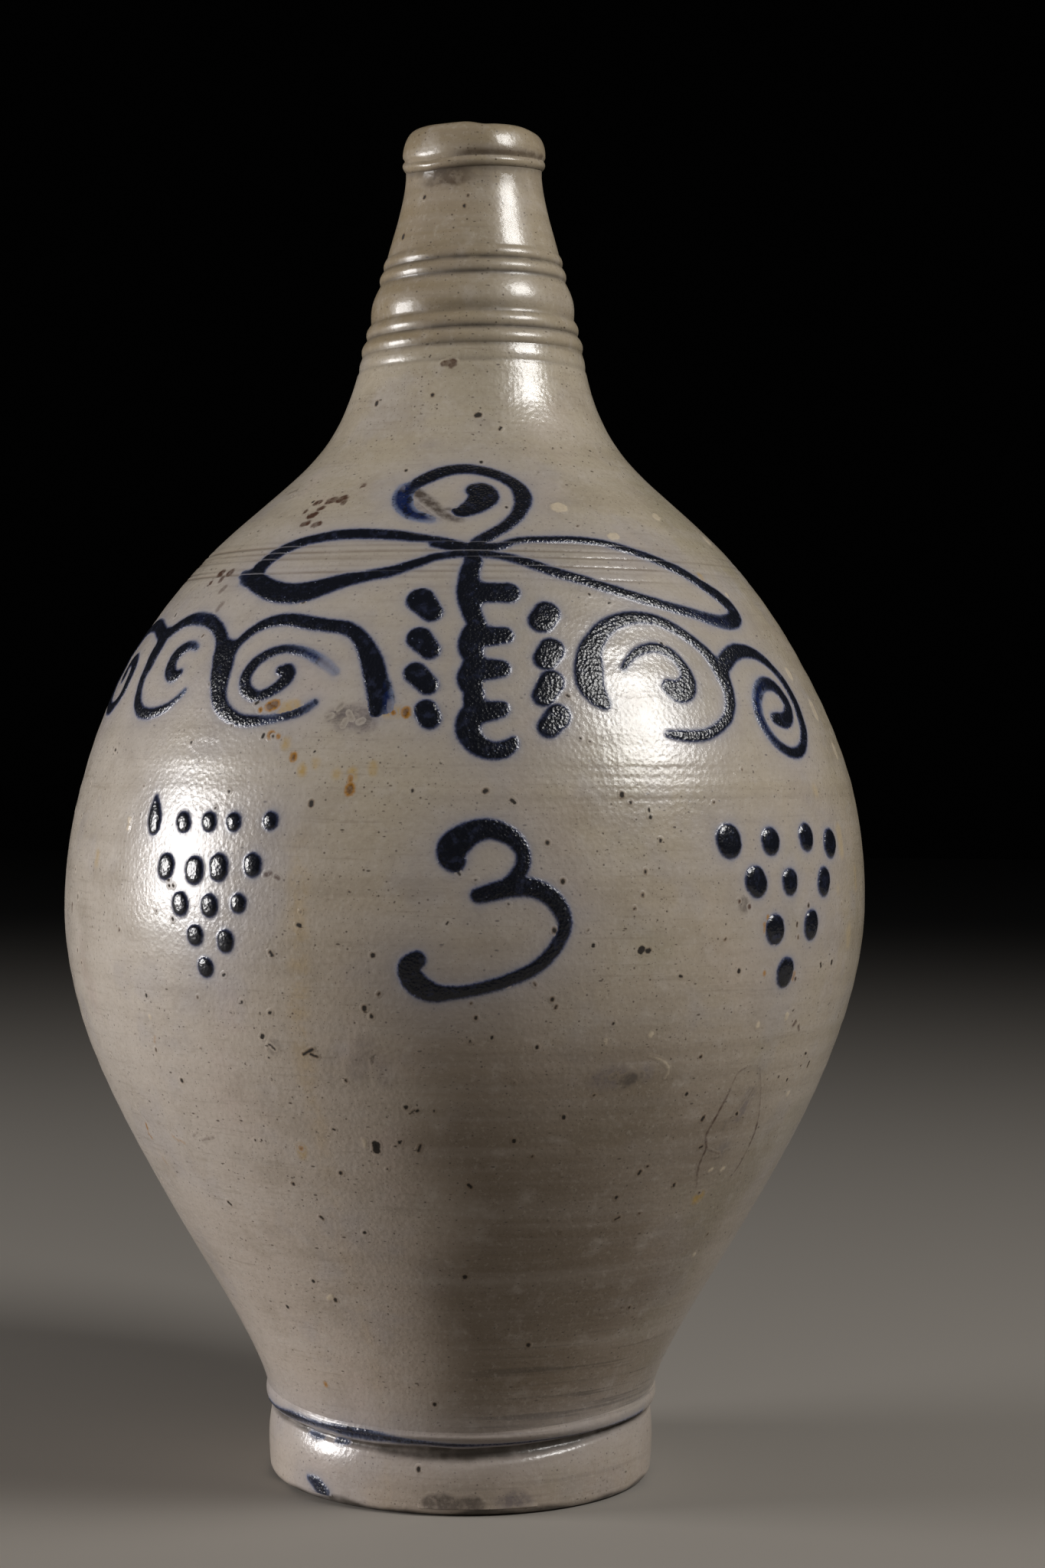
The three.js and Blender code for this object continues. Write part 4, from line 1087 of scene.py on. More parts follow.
SMALL_PITS = 260
IRON_SPOTS = (
    (-21, 155.3, 0.9, 4.4, 60), (-20.2, 154.2, 0.8, 3, -70), (-12.8, 125.8, 2.5, 4.8, 0),
    (-6.3, 126, 0.9, 3, 20), (-7.8, 139, 1.4), (-7, 137.6, 0.6, 2.4, 50), (-9.2, 127.7, 1.2),
    (-12.8, 169.2, 1.5, 1.9), (-11.9, 166.9, 1.1, 1.4), (-11.6, 185.2, 1.3), (-21, 229.6, 1.7, 2.3),
    (-44.6, 102, 1.2, 2.4, -40), (-24.6, 101, 1.1, 1.8, -40), (-48, 168.8, 1.2),
    (-27.6, 159.2, 1.5, 2, 40), (-26.3, 156.2, 0.8, 3.2, -50), (-19.2, 116.8, 1.2), (-28.2, 111.8, 1.1),
    (-30.2, 169.4, 1), (-44.4, 142.5, 1.3), (-7.4, 233.8, 1.1), (2.15, 234, 1.6, 2.2, 70),
    (20.6, 233.2, 1.6, 2), (21.8, 230.8, 1), (24.4, 228.6, 1.1, 1.6), (24.5, 226.4, 1.1),
    (25.8, 219.5, 1.1), (10.2, 218.8, 1.2), (12.2, 207.5, 1.4), (23.4, 210.2, 1.1, 1.6), (23, 203.2, 1),
    (16.4, 188.5, 1.1), (11.2, 193, 1.6, 1.9), (23, 186.8, 2.5, 2.8, 45), (24, 186.5, 1.6, 2.4, 80),
    (38.8, 179.2, 1.4), (38.4, 132.5, 1.2, 2, 20), (7.6, 128.5, 1.3), (14.6, 135.8, 1.3), (3.8, 161, 1.2),
    (63, 145.5, 1.2, 2.6, 10), (61.2, 179, 1.5, 2), (1.6, 167, 1), (9.8, 158, 1.1), (1, 159.8, 0.9),
    (1.2, 113.8, 1, 2.4, -40), (29.2, 116.2, 1.1, 2, 20), (52.8, 198.2, 1), (33.8, 141.2, 1.2),
    (11.4, 172.5, 1.2), (20, 164.8, 1), (-41.6, 67.2, 1.4, 1.8), (-27.2, 72.4, 1.2, 1.8), (-31, 78.2, 1.3),
    (0.6, 82.8, 1.6), (15.4, 58.8, 1.4), (-7, 41.2, 1.3), (26.2, 108.2, 1.2), (27.6, 101, 0.9, 2.2, 60),
    (51, 175.2, 0.9, 1.2), (2.4, 354.5, 1.9, 2.6, 60), (-47, 359.5, 1.6, 2), (-17.8, 361.2, 1.2),
    (-58, 417.2, 1.6, 2.2), (-6.8, 425.6, 1.1, 1.6), (-4.4, 429.2, 0.9), (-42.4, 430.5, 1.3),
    (2.8, 338.3, 1.4), (-20.5, 335.4, 1.2), (-12, 15.2, 1.3, 1.9), (8.3, 322.7, 1.1), (-45.6, 325.4, 1.3),
    (-33, 125.4, 0.7), (-31.8, 125.6, 0.7), (-31, 125.4, 0.6), (104, 246, 1.6), (131, 171, 1.4),
    (152, 210, 1.8, 2.6, 40), (168, 122, 1.3), (-104, 190, 1.5), (-128, 231, 1.3), (-151, 140, 1.7),
    (-172, 265, 1.4), (96, 118, 1.3), (-97, 92, 1.4), (143, 88, 1.5), (-139, 301, 1.4),
) + small_pits(SMALL_PITS)
RUST_SPOTS = (
    (-25, 124.1, 1.5, 1.9), (-38.6, 43.5, 1.6, 2), (43.8, 178, 1.3, 1.3, 0, 0.1), (-24.5, 243.4, 2.6, 3.4),
    (-15.8, 234, 3, 4.4), (-15.9, 237.2, 1.4, 2.2, 0, 0.1), (-28.6, 250, 2.6, 2.6), (-27.4, 249.6, 1.4),
    (-29.4, 259, 3.6, 5.6, 70), (-31.3, 257.6, 1.3), (-8.8, 257.2, 3, 3.8), (-10.6, 257, 1.6),
    (43, 192.2, 1.2, 3.6, 0, 0.25), (43.6, 195.2, 1, 1.6), (50.5, 176.2, 1.4, 3, 0, 0.25),
    (-21, 229.4, 1.8, 2.2, 0, 0.3), (-11.6, 185.2, 1.4, 1.6, 0, 0.3), (-61.4, 123.4, 0.8, 3.4, 20),
    (-61.8, 120.4, 0.8, 2.8, -30), (-60.8, 112.2, 0.9, 3, -30, 0.5), (-52.2, 122, 0.9, 3.6, -60, 0.55),
    (-50.4, 121.2, 0.7, 2.6, -70, 0.5), (-48, 155, 0.7, 2.6, 30, 0.6), (117, 221, 1.8, 2.4),
    (-121, 165, 1.6), (160, 292, 1.6, 2.2), (-163, 203, 1.9),
)
YELLOW_STAINS = (
    (-26.5, 258.4, 4.6, 8, 75, 0.4), (-15.7, 238.4, 2.6, 5, 0, 0.25), (-22.9, 239.6, 2.8, 4, 0, 0.25),
    (-12.9, 240.3, 2.6, 4.4, 0, 0.3), (-17.8, 238.5, 3, 3, 20, 0.4), (-26, 247.4, 3.2, 4.2, 0, 0.45),
    (-21, 241.5, 2.4, 3.4, 0, 0.5), (-10.6, 257.2, 3.6, 6.4, 85, 0.3), (44.6, 105, 4.4, 5.4, 60, 0.15),
    (-61, 210, 3, 6, 0, 0.6), (51, 302, 2.4, 3.4, 0, 0.4), (-25, 123, 3.4, 6, 10, 0.5),
)
TAN_PATCHES = (
    (64.2, 217.8, 5, 12, -5, 0.1), (58, 234, 3.4, 5, -20, 0.3), (67.2, 186.8, 5, 9, -10, 0.2),
    (70.5, 205, 4, 9, 0, 0.2), (62, 202.5, 3, 3.6, 0, 0.4),
)
BROWN_STAINS = (
    (-43.4, 325, 2.6, 4, 65), (-39, 325.5, 3.4, 5, 60), (-35.8, 325.9, 3.2, 5, 55), (-34.4, 324.8, 2.2, 3),
    (-40.4, 322.8, 2.4, 3.4, 60), (-41.2, 320.5, 3.4, 4.6, 60), (-37.6, 317.2, 2.8, 4.4, 75),
    (-41.2, 317.6, 2.6, 4.4, 70), (-45, 322, 1.6, 2.4), (-31.9, 330.6, 1.8, 2.4),
    (-57.4, 301.8, 3.2, 4.4, 70), (-53.8, 301.8, 3, 4, 60), (-55.4, 299.6, 2.4, 3),
    (-58.8, 298.6, 1.8, 2.4), (-52.2, 296.2, 2.4, 4, 25, 0.45), (-49.6, 290.4, 2.2, 4.6, 20, 0.5),
    (-61.8, 330, 0.9, 5, 60, 0.3), (-58.8, 327.4, 0.7, 4, 60, 0.5), (-11.4, 371.8, 2.4, 5.6, 75, 0.1),
    (-9.4, 370.8, 1.6, 2.6, 60, 0.2), (-26.2, 208.4, 1.5, 3, 75, 0.15), (-24.8, 207.4, 1.2, 2.4, -60, 0.1),
    (40, 198.8, 1.4, 1.8), (38.2, 200.6, 1, 1.4), (53.4, 160.6, 1.1, 2.6, 40), (55, 159, 1, 2.8, -30),
    (67.4, 86.8, 1, 2.4, 0, 0.3), (-71.2, 193, 1.3, 3.4, 0, 0.1), (-43.2, 123.8, 0.9, 7, 75, 0.5),
    (-46, 124.6, 0.7, 4, 60, 0.5),
    [(45.2, 148.6, 0.1, 0.3), (42.9, 146.2, 0.2, 0.2), (42, 138.5, 0.3, 0.1), (41, 131.8, 0.4),
     (40.4, 126.5, 0.4), (41.4, 122, 0.4), (41.4, 115.8, 0.3, 0.1), (43, 108.8, 0.2, 0.2)],
    [(47.6, 147.4, 0.1, 0.4), (50, 139, 0.1, 0.5), (52, 130.8, 0.2, 0.2), (52.8, 126.5, 0.4),
     (53, 119.5, 0.3), (52.6, 114.2, 0.3, 0.1), (51.6, 109.8, 0.2, 0.3)],
    [(41.2, 122.4, 0.2, 0.2), (42.8, 121, 0.2, 0.2), (45.2, 119.6, 0.1, 0.4)],
)
PALE_DROPS = (
    (-53, 222.8, 2.2, 2.4), (-53, 220.4, 1.8), (21.6, 323.2, 4.6, 6, 70), (32.2, 314, 3, 5, 70, 0.1),
    (52.2, 322, 3, 4.6, 60, 0.1), (71.4, 315.8, 4, 6, 60, 0.1), (64.6, 271.5, 4, 5, 0, 0.2),
    (69, 259.8, 4.4, 8, 0, 0.2), (72.8, 246.5, 4, 6, 0, 0.2), (25.8, 160.8, 1.8, 2.2, 20, 0.1),
    (-14.4, 127, 1.2, 3.4, 0, 0.3), (-28.2, 73.2, 2, 3.4, 60), (50.8, 163.3, 2, 2.8),
    (44.5, 161.6, 1.8, 2.4), (59.2, 136.5, 2.4, 2.6), (52.8, 83.5, 1.6, 2.2), (48, 113.8, 1.8, 2.6, 70),
    (44.8, 114.2, 1.4, 2.6, 70), (19.2, 159.2, 1.2, 2, 0, 0.3), (56.4, 296.4, 1.6, 2.2), (-48, 162, 1.4),
    [(26.2, 154.2, 0.1, 0.5), (27.6, 153.2, 0.3, 0.35), (28.8, 151.8, 0.4, 0.3), (29.7, 149.6, 0.4, 0.3),
     (29.4, 146.8, 0.2, 0.5)],
)
SMUDGES = (
    (-26, 156, 4, 5.5, 20, 0.6), (23.8, 147.2, 4.6, 5.4, 60, 0.1), (22.4, 147, 1.2, 2.4, 0, 0),
    (21.2, 148.4, 0.9, 2.4, 60, 0.1), (25.4, 148.2, 0.9, 2, 0, 0.1), (23, 144.6, 0.7, 1.8, 80, 0.1),
    (39, 199.4, 4.4, 5, 0, 0.35), (47.4, 139.2, 0.6, 4, 20, 0.3), (46.2, 136.4, 0.6, 4.4, 30, 0.3),
    (45, 133, 0.5, 4, 20, 0.35), (48.2, 136, 0.5, 3.2, 10, 0.4), (43.8, 129.4, 0.5, 3.6, 0, 0.4),
    (47, 120.4, 0.5, 3, 80, 0.3), (45.2, 118.2, 0.5, 2.4, 70, 0.35), (-18.6, 258.8, 0.7, 2.6, 40, 0.3),
    (-16.8, 256, 0.6, 3, -30, 0.3), (-15.2, 254.4, 0.7, 2, 60, 0.3), (-17.6, 253.8, 0.5, 2.4, 20, 0.35),
    (-20, 255.8, 0.6, 2.2, 70, 0.4),
    [(-16.4, 329.2, 1.2, 0.1), (-14.6, 327.8, 1.8, 0), (-12.4, 325.8, 2, 0), (-10.2, 323.8, 1.9, 0),
     (-8.4, 322, 1.9, 0), (-6.4, 320, 1.6, 0), (-4.8, 318.8, 1.5, 0.05), (-2.4, 318.2, 1.1, 0.3)],
    [(-7.6, 322, 0.6, 0.2), (-6, 321.8, 0.9, 0.2), (-3.8, 321.4, 0.8, 0.3)],
    [(-9, 4.4, 2.4, 0.2), (-5, 4.6, 3, 0.12), (-1, 4, 2.4, 0.15)],
    [(0.6, 4.2, 2.2, 0.15), (3.4, 4.4, 2.6, 0.1), (5.6, 3.6, 1.8, 0.25)],
)
FAINT_SMUDGES = (
    (20.6, 147.8, 9, 14, 80, 0.35), (26.2, 149, 5, 6.4, 0, 0.3), (-16.6, 255.6, 9, 14, 75, 0.25),
    (-18.6, 256.4, 6, 9, 70, 0.2), (-14.4, 253.4, 6, 8.5, 60, 0.2), (-13.6, 154, 8, 17, 20, 0.62),
    (-10.8, 150, 6, 12, -10, 0.62), (47, 135.4, 6, 13, 15, 0.25), (45.6, 120.5, 6, 9, 10, 0.4),
    [(-13, 323.4, 3.4, 0.3), (-8, 320.8, 3.2, 0.3), (-4, 318.4, 2.2, 0.3)],
    [(12, 4.4, 2.8, 0.2), (15.5, 5.4, 3.4, 0.1), (19, 4.4, 2.6, 0.2)],
)


def rgb(r, g, b):
    return (r, g, b, 1.0)


# Where the yellow streak runs down on the left, and how many cells of the slip's skin carry pale dust.
YELLOW_STREAK_AT = math.radians(-22)
DUSTY_SHARE = 0.26

# Fired colours, as linear reflectances. The flush, neck and grime colours also carry painted shade, and the
# two floor colours make a painted pool of light.
PINK_BEIGE = rgb(0.47, 0.39, 0.325)
OLIVE_BEIGE = rgb(0.425, 0.365, 0.275)
TAN = rgb(0.37, 0.31, 0.215)
GREY_CREAM = rgb(0.53, 0.48, 0.435)
FLUSH_AND_SHADE_BROWN = rgb(0.165, 0.12, 0.077)
NECK_BROWN_AND_SHADE = rgb(0.25, 0.19, 0.11)
OLIVE_FLUSH = rgb(0.31, 0.275, 0.18)
PINK_FLUSH = rgb(0.51, 0.41, 0.365)
BAND_BROWN = rgb(0.27, 0.22, 0.165)
PALE_GRAIN = rgb(0.60, 0.55, 0.48)
IRON_BROWN = rgb(0.05, 0.032, 0.02)
LILAC = rgb(0.38, 0.35, 0.355)
COBALT_BREATH = rgb(0.27, 0.265, 0.30)
WASH_BROWN = rgb(0.075, 0.046, 0.023)
GRIME_AND_SHADE = rgb(0.055, 0.043, 0.032)
NAVY = rgb(0.0075, 0.0085, 0.013)
COBALT_EDGE = rgb(0.05, 0.06, 0.12)
COBALT_BLUE = rgb(0.008, 0.018, 0.08)
COBALT_WASH = rgb(0.17, 0.20, 0.30)
SMUDGE_GREY = rgb(0.095, 0.075, 0.062)
SMUDGE_LILAC = rgb(0.17, 0.14, 0.138)
YELLOW = rgb(0.46, 0.29, 0.06)
STAIN_TAN = rgb(0.50, 0.39, 0.235)
RUST = rgb(0.36, 0.16, 0.012)
RUST_CORE = rgb(0.09, 0.035, 0.01)
PIT_RIM = rgb(0.16, 0.09, 0.04)
LINE_BROWN = rgb(0.16, 0.12, 0.085)
STAIN_BROWN = rgb(0.06, 0.022, 0.011)
CREAM = rgb(0.62, 0.52, 0.38)
PIT_BLACK = rgb(0.02, 0.014, 0.009)
FLOOR_PALE = rgb(0.27, 0.247, 0.22)
FLOOR_DARK = rgb(0.01, 0.01, 0.009)
ROOM_BLACK = rgb(0.0005, 0.0005, 0.0005)


class Nodes:
    """Short calls for building a shader tree."""

    def __init__(self, tree):
        self.tree = tree

    def add(self, kind, settings=None, **inputs):
        node = self.tree.nodes.new("ShaderNode" + kind)
        for name, value in (settings or {}).items():
            setattr(node, name, value)
        for name, value in inputs.items():
            self.feed(node.inputs[name.replace("_", " ")], value)
        return node

    def feed(self, socket, value):
        if isinstance(value, bpy.types.NodeSocket):
            self.tree.links.new(value, socket)
        else:
            socket.default_value = value

    def math(self, operation, a, b=0.0):
        node = self.add("Math", {"operation": operation})
        self.feed(node.inputs[0], a)
        self.feed(node.inputs[1], b)
        return node.outputs[0]

    def plus(self, *values):
        """The sum of two or more values."""
        total = values[0]
        for value in values[1:]:
            total = self.math("ADD", total, value)
        return total

    def times(self, *values):
        """The product of two or more values."""
        total = values[0]
        for value in values[1:]:
            total = self.math("MULTIPLY", total, value)
        return total

    def strayed(self, value, grain, reach):
        """A value that a noise moves up and down, by half of the reach each way."""
        return self.plus(value, self.times(self.math("SUBTRACT", grain, 0.5), reach))

    def mix(self, share, a, b):
        node = self.add("Mix", {"data_type": "RGBA"})
        self.feed(node.inputs[0], share)
        self.feed(node.inputs[6], a)
        self.feed(node.inputs[7], b)
        return node.outputs[2]

    def ramp(self, value, start, end, low=0.0, high=1.0):
        """Runs smoothly from low to high while the value goes from start to end."""
        node = self.add("MapRange", {"interpolation_type": "SMOOTHSTEP"}, Value=value, From_Min=start,
                        From_Max=end, To_Min=low, To_Max=high)
        return node.outputs[0]

    def noise(self, place, scale, detail=2.0, roughness=0.5):
        return self.add("TexNoise", Vector=place, Scale=scale, Detail=detail, Roughness=roughness).outputs[0]

    def cells(self, place, scale, feature="F1", jitter=1.0):
        return self.add("TexVoronoi", {"feature": feature}, Vector=place, Scale=scale, Randomness=jitter)

    def chosen(self, cells, share):
        """1 in a share of the cells, picked by their random colour."""
        picked = self.add("SeparateColor", Color=cells.outputs["Color"]).outputs[0]
        return self.ramp(picked, share, share - 0.05)

    def place(self):
        return self.add("TexCoord").outputs["Object"]

    def stretched(self, place, scale, offset=(0, 0, 0)):
        return self.add("Mapping", Vector=place, Scale=scale, Location=offset).outputs[0]

    def value_of(self, name):
        return self.add("Attribute", {"attribute_name": name}).outputs["Fac"]


def salt_glaze_group():
    """The fired body and its salt glaze: colour, roughness and the orange-peel height in mm."""
    tree = bpy.data.node_groups.new("salt_glaze", "ShaderNodeTree")
    for name, kind in (("Color", "NodeSocketColor"), ("Roughness", "NodeSocketFloat"),
                       ("Height", "NodeSocketFloat")):
        tree.interface.new_socket(name, in_out="OUTPUT", socket_type=kind)
    n = Nodes(tree)
    place = n.place()
    x, y, z = n.add("SeparateXYZ", Vector=place).outputs
    side = n.strayed(x, n.noise(place, 11, 2), 0.12)
    rise = n.strayed(z, n.noise(place, 7, 2), 0.16)
    colour = fired_colour_and_left_light(n, place, side, rise, z)
    # The low front takes a brown that is partly the body's flush and partly painted shade.
    colour = n.mix(low_flush_and_shade(n, x, y, z, side, rise), colour, FLUSH_AND_SHADE_BROWN)
    colour = n.mix(yellow_streak(n, place, x, y, z), colour, YELLOW)

    # The neck is browner, most on its left and on the lip; the extra darkness on its left is painted shade.
    neck = n.times(n.ramp(z, 0.374, 0.381), n.ramp(x, 0.012, -0.02, 0.42, 0.85))
    neck = n.math("MAXIMUM", neck, n.ramp(z, 0.438, 0.445, 0, 0.72))
    colour = n.mix(neck, colour, NECK_BROWN_AND_SHADE)

    colour = mottled(n, place, side, z, colour)
    colour = speckled(n, place, colour)

    # What the mesh carries: the blue breath of the cobalt, the wash under the lip, the grime with painted
    # shade in the groove, creases and hollow, and the dirt in the lines that the wiping tool cut.
    colour = n.mix(n.times(n.value_of("breath"), 0.5), colour, LILAC)
    halo = n.times(n.value_of("halo"), n.ramp(n.noise(place, 240, 3), 0.3, 0.7, 0.25, 0.75))
    colour = n.mix(halo, colour, COBALT_BREATH)
    brown = n.value_of("brown")
    patchy = n.ramp(n.noise(place, 190, 4, 0.6), 0.34, 0.52, 0.55, 0.92)
    colour = n.mix(n.times(brown, patchy), colour, WASH_BROWN)
    grime_and_shade = n.times(n.value_of("grime_and_shade"), n.ramp(n.noise(place, 160, 4), 0.25, 0.6, 0.6, 0.97))
    colour = n.mix(grime_and_shade, colour, GRIME_AND_SHADE)
    broken = n.ramp(n.noise(n.stretched(place, (30, 30, 200)), 1, 3), 0.35, 0.6, 0.35, 1)
    colour = n.mix(n.times(n.value_of("line"), broken, 0.62), colour, LINE_BROWN)

    rough = n.plus(n.ramp(n.noise(place, 90, 3), 0.3, 0.7, 0.27, 0.38), n.times(grime_and_shade, 0.25),
                   n.ramp(brown, 0.05, 0.4, 0, 0.36))
    result = tree.nodes.new("NodeGroupOutput")
    for name, value in (("Color", colour), ("Roughness", rough), ("Height", orange_peel(n, place, z))):
        n.feed(result.inputs[name], value)
    return tree


def fired_colour_and_left_light(n, place, side, rise, z):
    """Broad shifts: olive beige above and to the right, pinker below and to the left, and paler on the left,
    partly with painted light, in soft patches.
    """
    colour = n.mix(n.ramp(rise, 0.03, 0.30), PINK_BEIGE, OLIVE_BEIGE)
    tan = n.times(n.ramp(side, 0.03, 0.13, 0, 0.45), n.ramp(z, 0.25, 0.31, 1, 0.4))
    colour = n.mix(tan, colour, TAN)
    # Paler on the left: partly the glaze's own grey cream and partly painted light on the side that the left
    # lamp lights.
    colour = n.mix(n.ramp(side, -0.02, -0.12, 0, 0.55), colour, GREY_CREAM)
    patch = n.noise(n.stretched(place, (1, 1, 1), (7, 2, 4)), 24, 3, 0.55)
    greener = n.times(n.ramp(patch, 0.5, 0.68, 0, 0.5), n.ramp(side, -0.02, 0.06))
    pinker = n.times(n.ramp(patch, 0.46, 0.3, 0, 0.5), n.ramp(side, 0.06, -0.06, 0.4, 1))
    colour = n.mix(greener, colour, OLIVE_FLUSH)
    colour = n.mix(pinker, colour, PINK_FLUSH)
    greyer = n.noise(n.stretched(place, (1, 1, 1), (2, 9, 3)), 38, 3, 0.6)
    return n.mix(n.ramp(greyer, 0.52, 0.68, 0, 0.35), colour, LILAC)


def low_flush_and_shade(n, x, y, z, side, rise):
    """Where the front is flushed brown and darkened with painted shade: low on the wall, ending above the
    foot's slanting edge.
    """
    edge = n.math("SUBTRACT", z, n.times(x, 0.09))
    return n.times(n.ramp(side, -0.03, 0.015), n.ramp(side, 0.105, 0.035), n.ramp(y, 0.0, -0.04),
                   n.ramp(rise, 0.195, 0.11, 0, 0.95), n.ramp(edge, 0.0245, 0.0275, 0.25, 1))


def yellow_streak(n, place, x, y, z):
    """Where a yellow streak ran down on the left."""
    turned = n.strayed(n.math("ARCTAN2", x, n.times(y, -1.0)), n.noise(place, 16, 2), 0.06)
    aside = n.math("ABSOLUTE", n.math("SUBTRACT", turned, YELLOW_STREAK_AT))
    grainy = n.ramp(n.noise(place, 190, 4, 0.7), 0.38, 0.62, 0.25, 1)
    return n.times(n.ramp(aside, 0.042, 0.004), grainy,
                   n.times(n.ramp(z, 0.232, 0.205), n.ramp(z, 0.09, 0.19, 0.1, 0.32)))


def mottled(n, place, side, z, colour):
    """Wiping and throwing bands, then blotches, streaks, smears low on the right, and fine mottle."""
    bands = n.noise(n.stretched(place, (5, 5, 150)), 1, 3, 0.6)
    colour = n.mix(n.ramp(bands, 0.42, 0.72, 0, 0.22), colour, GREY_CREAM)
    colour = n.mix(n.ramp(bands, 0.48, 0.26, 0, 0.22), colour, BAND_BROWN)
    colour = n.mix(n.ramp(n.noise(place, 60, 4, 0.6), 0.48, 0.72, 0, 0.3), colour, BAND_BROWN)
    blotches = n.noise(n.stretched(place, (1, 1, 1), (3, 5, 1)), 130, 4, 0.6)
    colour = n.mix(n.ramp(blotches, 0.5, 0.75, 0, 0.3), colour, GREY_CREAM)
    streaks = n.noise(n.stretched(place, (45, 45, 900)), 1, 3, 0.6)
    colour = n.mix(n.ramp(streaks, 0.56, 0.72, 0, 0.35), colour, BAND_BROWN)
    smears = n.noise(n.stretched(place, (14, 14, 520), (0.3, 0.1, 0.2)), 1, 3, 0.6)
    low_right = n.times(n.ramp(z, 0.075, 0.04), n.ramp(side, -0.01, 0.03), n.ramp(z, 0.024, 0.03, 0.25, 1))
    colour = n.mix(n.times(low_right, n.ramp(smears, 0.53, 0.66, 0, 0.6)), colour, GRIME_AND_SHADE)
    mottle = n.noise(place, 620, 3, 0.65)
    colour = n.mix(n.ramp(mottle, 0.5, 0.7, 0, 0.26), colour, BAND_BROWN)
    return n.mix(n.ramp(mottle, 0.46, 0.28, 0, 0.22), colour, PALE_GRAIN)


def speckled(n, place, colour):
    """Iron specks of four sizes; a random share of the cells carries one. Two are drawn out into dashes."""
    for scale, size, share, strength, squash in ((900, 0.16, 0.55, 0.55, 1), (420, 0.13, 0.33, 0.75, 1),
                                                 (240, 0.11, 0.3, 0.7, 2.6), (130, 0.08, 0.28, 0.8, 2.2)):
        cell = n.cells(n.stretched(place, (1, 1, squash), (squash, 0, 0)), scale)
        dark = n.times(n.ramp(cell.outputs["Distance"], size * 1.5, size * 0.6), n.chosen(cell, share))
        colour = n.mix(n.times(dark, strength), colour, IRON_BROWN)
    return colour


def orange_peel(n, place, z):
    """The relief of the salt glaze in mm: pits like orange peel, over the faint drag of the wiping."""
    peel = n.cells(place, 640, "SMOOTH_F1", 0.9)
    n.feed(peel.inputs["Smoothness"], 0.5)
    height = n.plus(n.times(peel.outputs["Distance"], 0.072), n.times(n.noise(place, 1500, 3, 0.6), 0.055),
                    n.times(n.noise(place, 400, 2, 0.5), 0.05),
                    n.times(n.noise(n.stretched(place, (16, 16, 1000)), 1, 2, 0.5), 0.014))
    return n.times(height, n.ramp(z, 0.366, 0.384, 1, 0.5))


def glaze_material(name, finish=None, coat=0.5, specular=0.5):
    """The salt glaze, with an optional finish laid over its colour."""
    material = bpy.data.materials.new(name)
    material.use_nodes = True
    tree = material.node_tree
    shader = tree.nodes["Principled BSDF"]
    n = Nodes(tree)
    base = n.add("Group", {"node_tree": salt_glaze})
    colour, rough, height = base.outputs["Color"], base.outputs["Roughness"], base.outputs["Height"]
    if finish:
        colour, rough, height = finish(n, colour, rough, height)
    bump = n.add("Bump", Height=height, Distance=MM, Strength=1.0).outputs[0]
    for socket, value in (("Base Color", colour), ("Roughness", rough), ("IOR", 1.5), ("Coat Weight", coat),
                          ("Specular IOR Level", specular), ("Coat Roughness", 0.1), ("Normal", bump),
                          ("Coat Normal", bump)):
        n.feed(shader.inputs[socket], value)
    return material


def cobalt_finish(grain, shine):
    """Near-black blue slip with a pebbled skin and pale dust, whose thin edge bleeds blue into the glaze."""
    def finish(n, colour, rough, height):
        place = n.place()
        depth, wash = n.value_of("depth"), n.value_of("wash")
        ragged = n.strayed(depth, n.noise(place, 1100, 3, 0.7), 0.9)
        slip = n.mix(n.ramp(ragged, -0.2, 0.55), COBALT_EDGE, NAVY)
        pale = n.mix(n.ramp(ragged, 0.0, 1.6), COBALT_WASH, COBALT_BLUE)
        pale = n.mix(n.ramp(n.noise(place, 420, 3, 0.6), 0.5, 0.62, 0, 0.8), pale, NAVY)
        slip = n.mix(wash, slip, pale)
        slip = n.mix(n.ramp(n.noise(place, 330, 3, 0.6), 0.5, 0.75, 0, 0.3), slip, COBALT_EDGE)
        dust = n.cells(place, 520)
        dusty = n.times(n.ramp(dust.outputs["Distance"], 0.17, 0.07), n.chosen(dust, DUSTY_SHARE), 0.55)
        slip = n.mix(dusty, slip, COBALT_WASH)
        covered = n.times(n.ramp(ragged, -0.75, 0.15), n.ramp(wash, 0.85, 1.0, 1.0, 0.45),
                          n.ramp(n.value_of("line"), 0.6, 1.0, 1.0, 0.35))
        stained = n.mix(n.ramp(depth, -SLIP_RIM, -0.2, 0, 0.75), colour, COBALT_BREATH)
        pebble = n.cells(place, 1000, "SMOOTH_F1", 1.0)
        n.feed(pebble.inputs["Smoothness"], 0.2)
        pebbled = n.plus(n.times(pebble.outputs["Distance"], 0.19 * grain),
                         n.times(n.noise(place, 1700, 2, 0.6), 0.10 * grain))
        height = n.plus(n.times(height, n.ramp(covered, 0, 1, 1.0, 0.35)), n.times(pebbled, covered))
        return n.mix(covered, stained, slip), n.ramp(covered, 0, 1, 0.34, shine), height
    return finish


# How a kind of mark looks: its colour, the depths inside its edge from which and to which it fades in (outer
# is counted outwards), its strength, how patchy it is, and whether it is a pit. Layer is its place among the
# marks that lie over each other, raised its height and rim the width of its skirt.
Mark = namedtuple("Mark", "name rows colour outer inner strength patchy layer raised rim pitted")


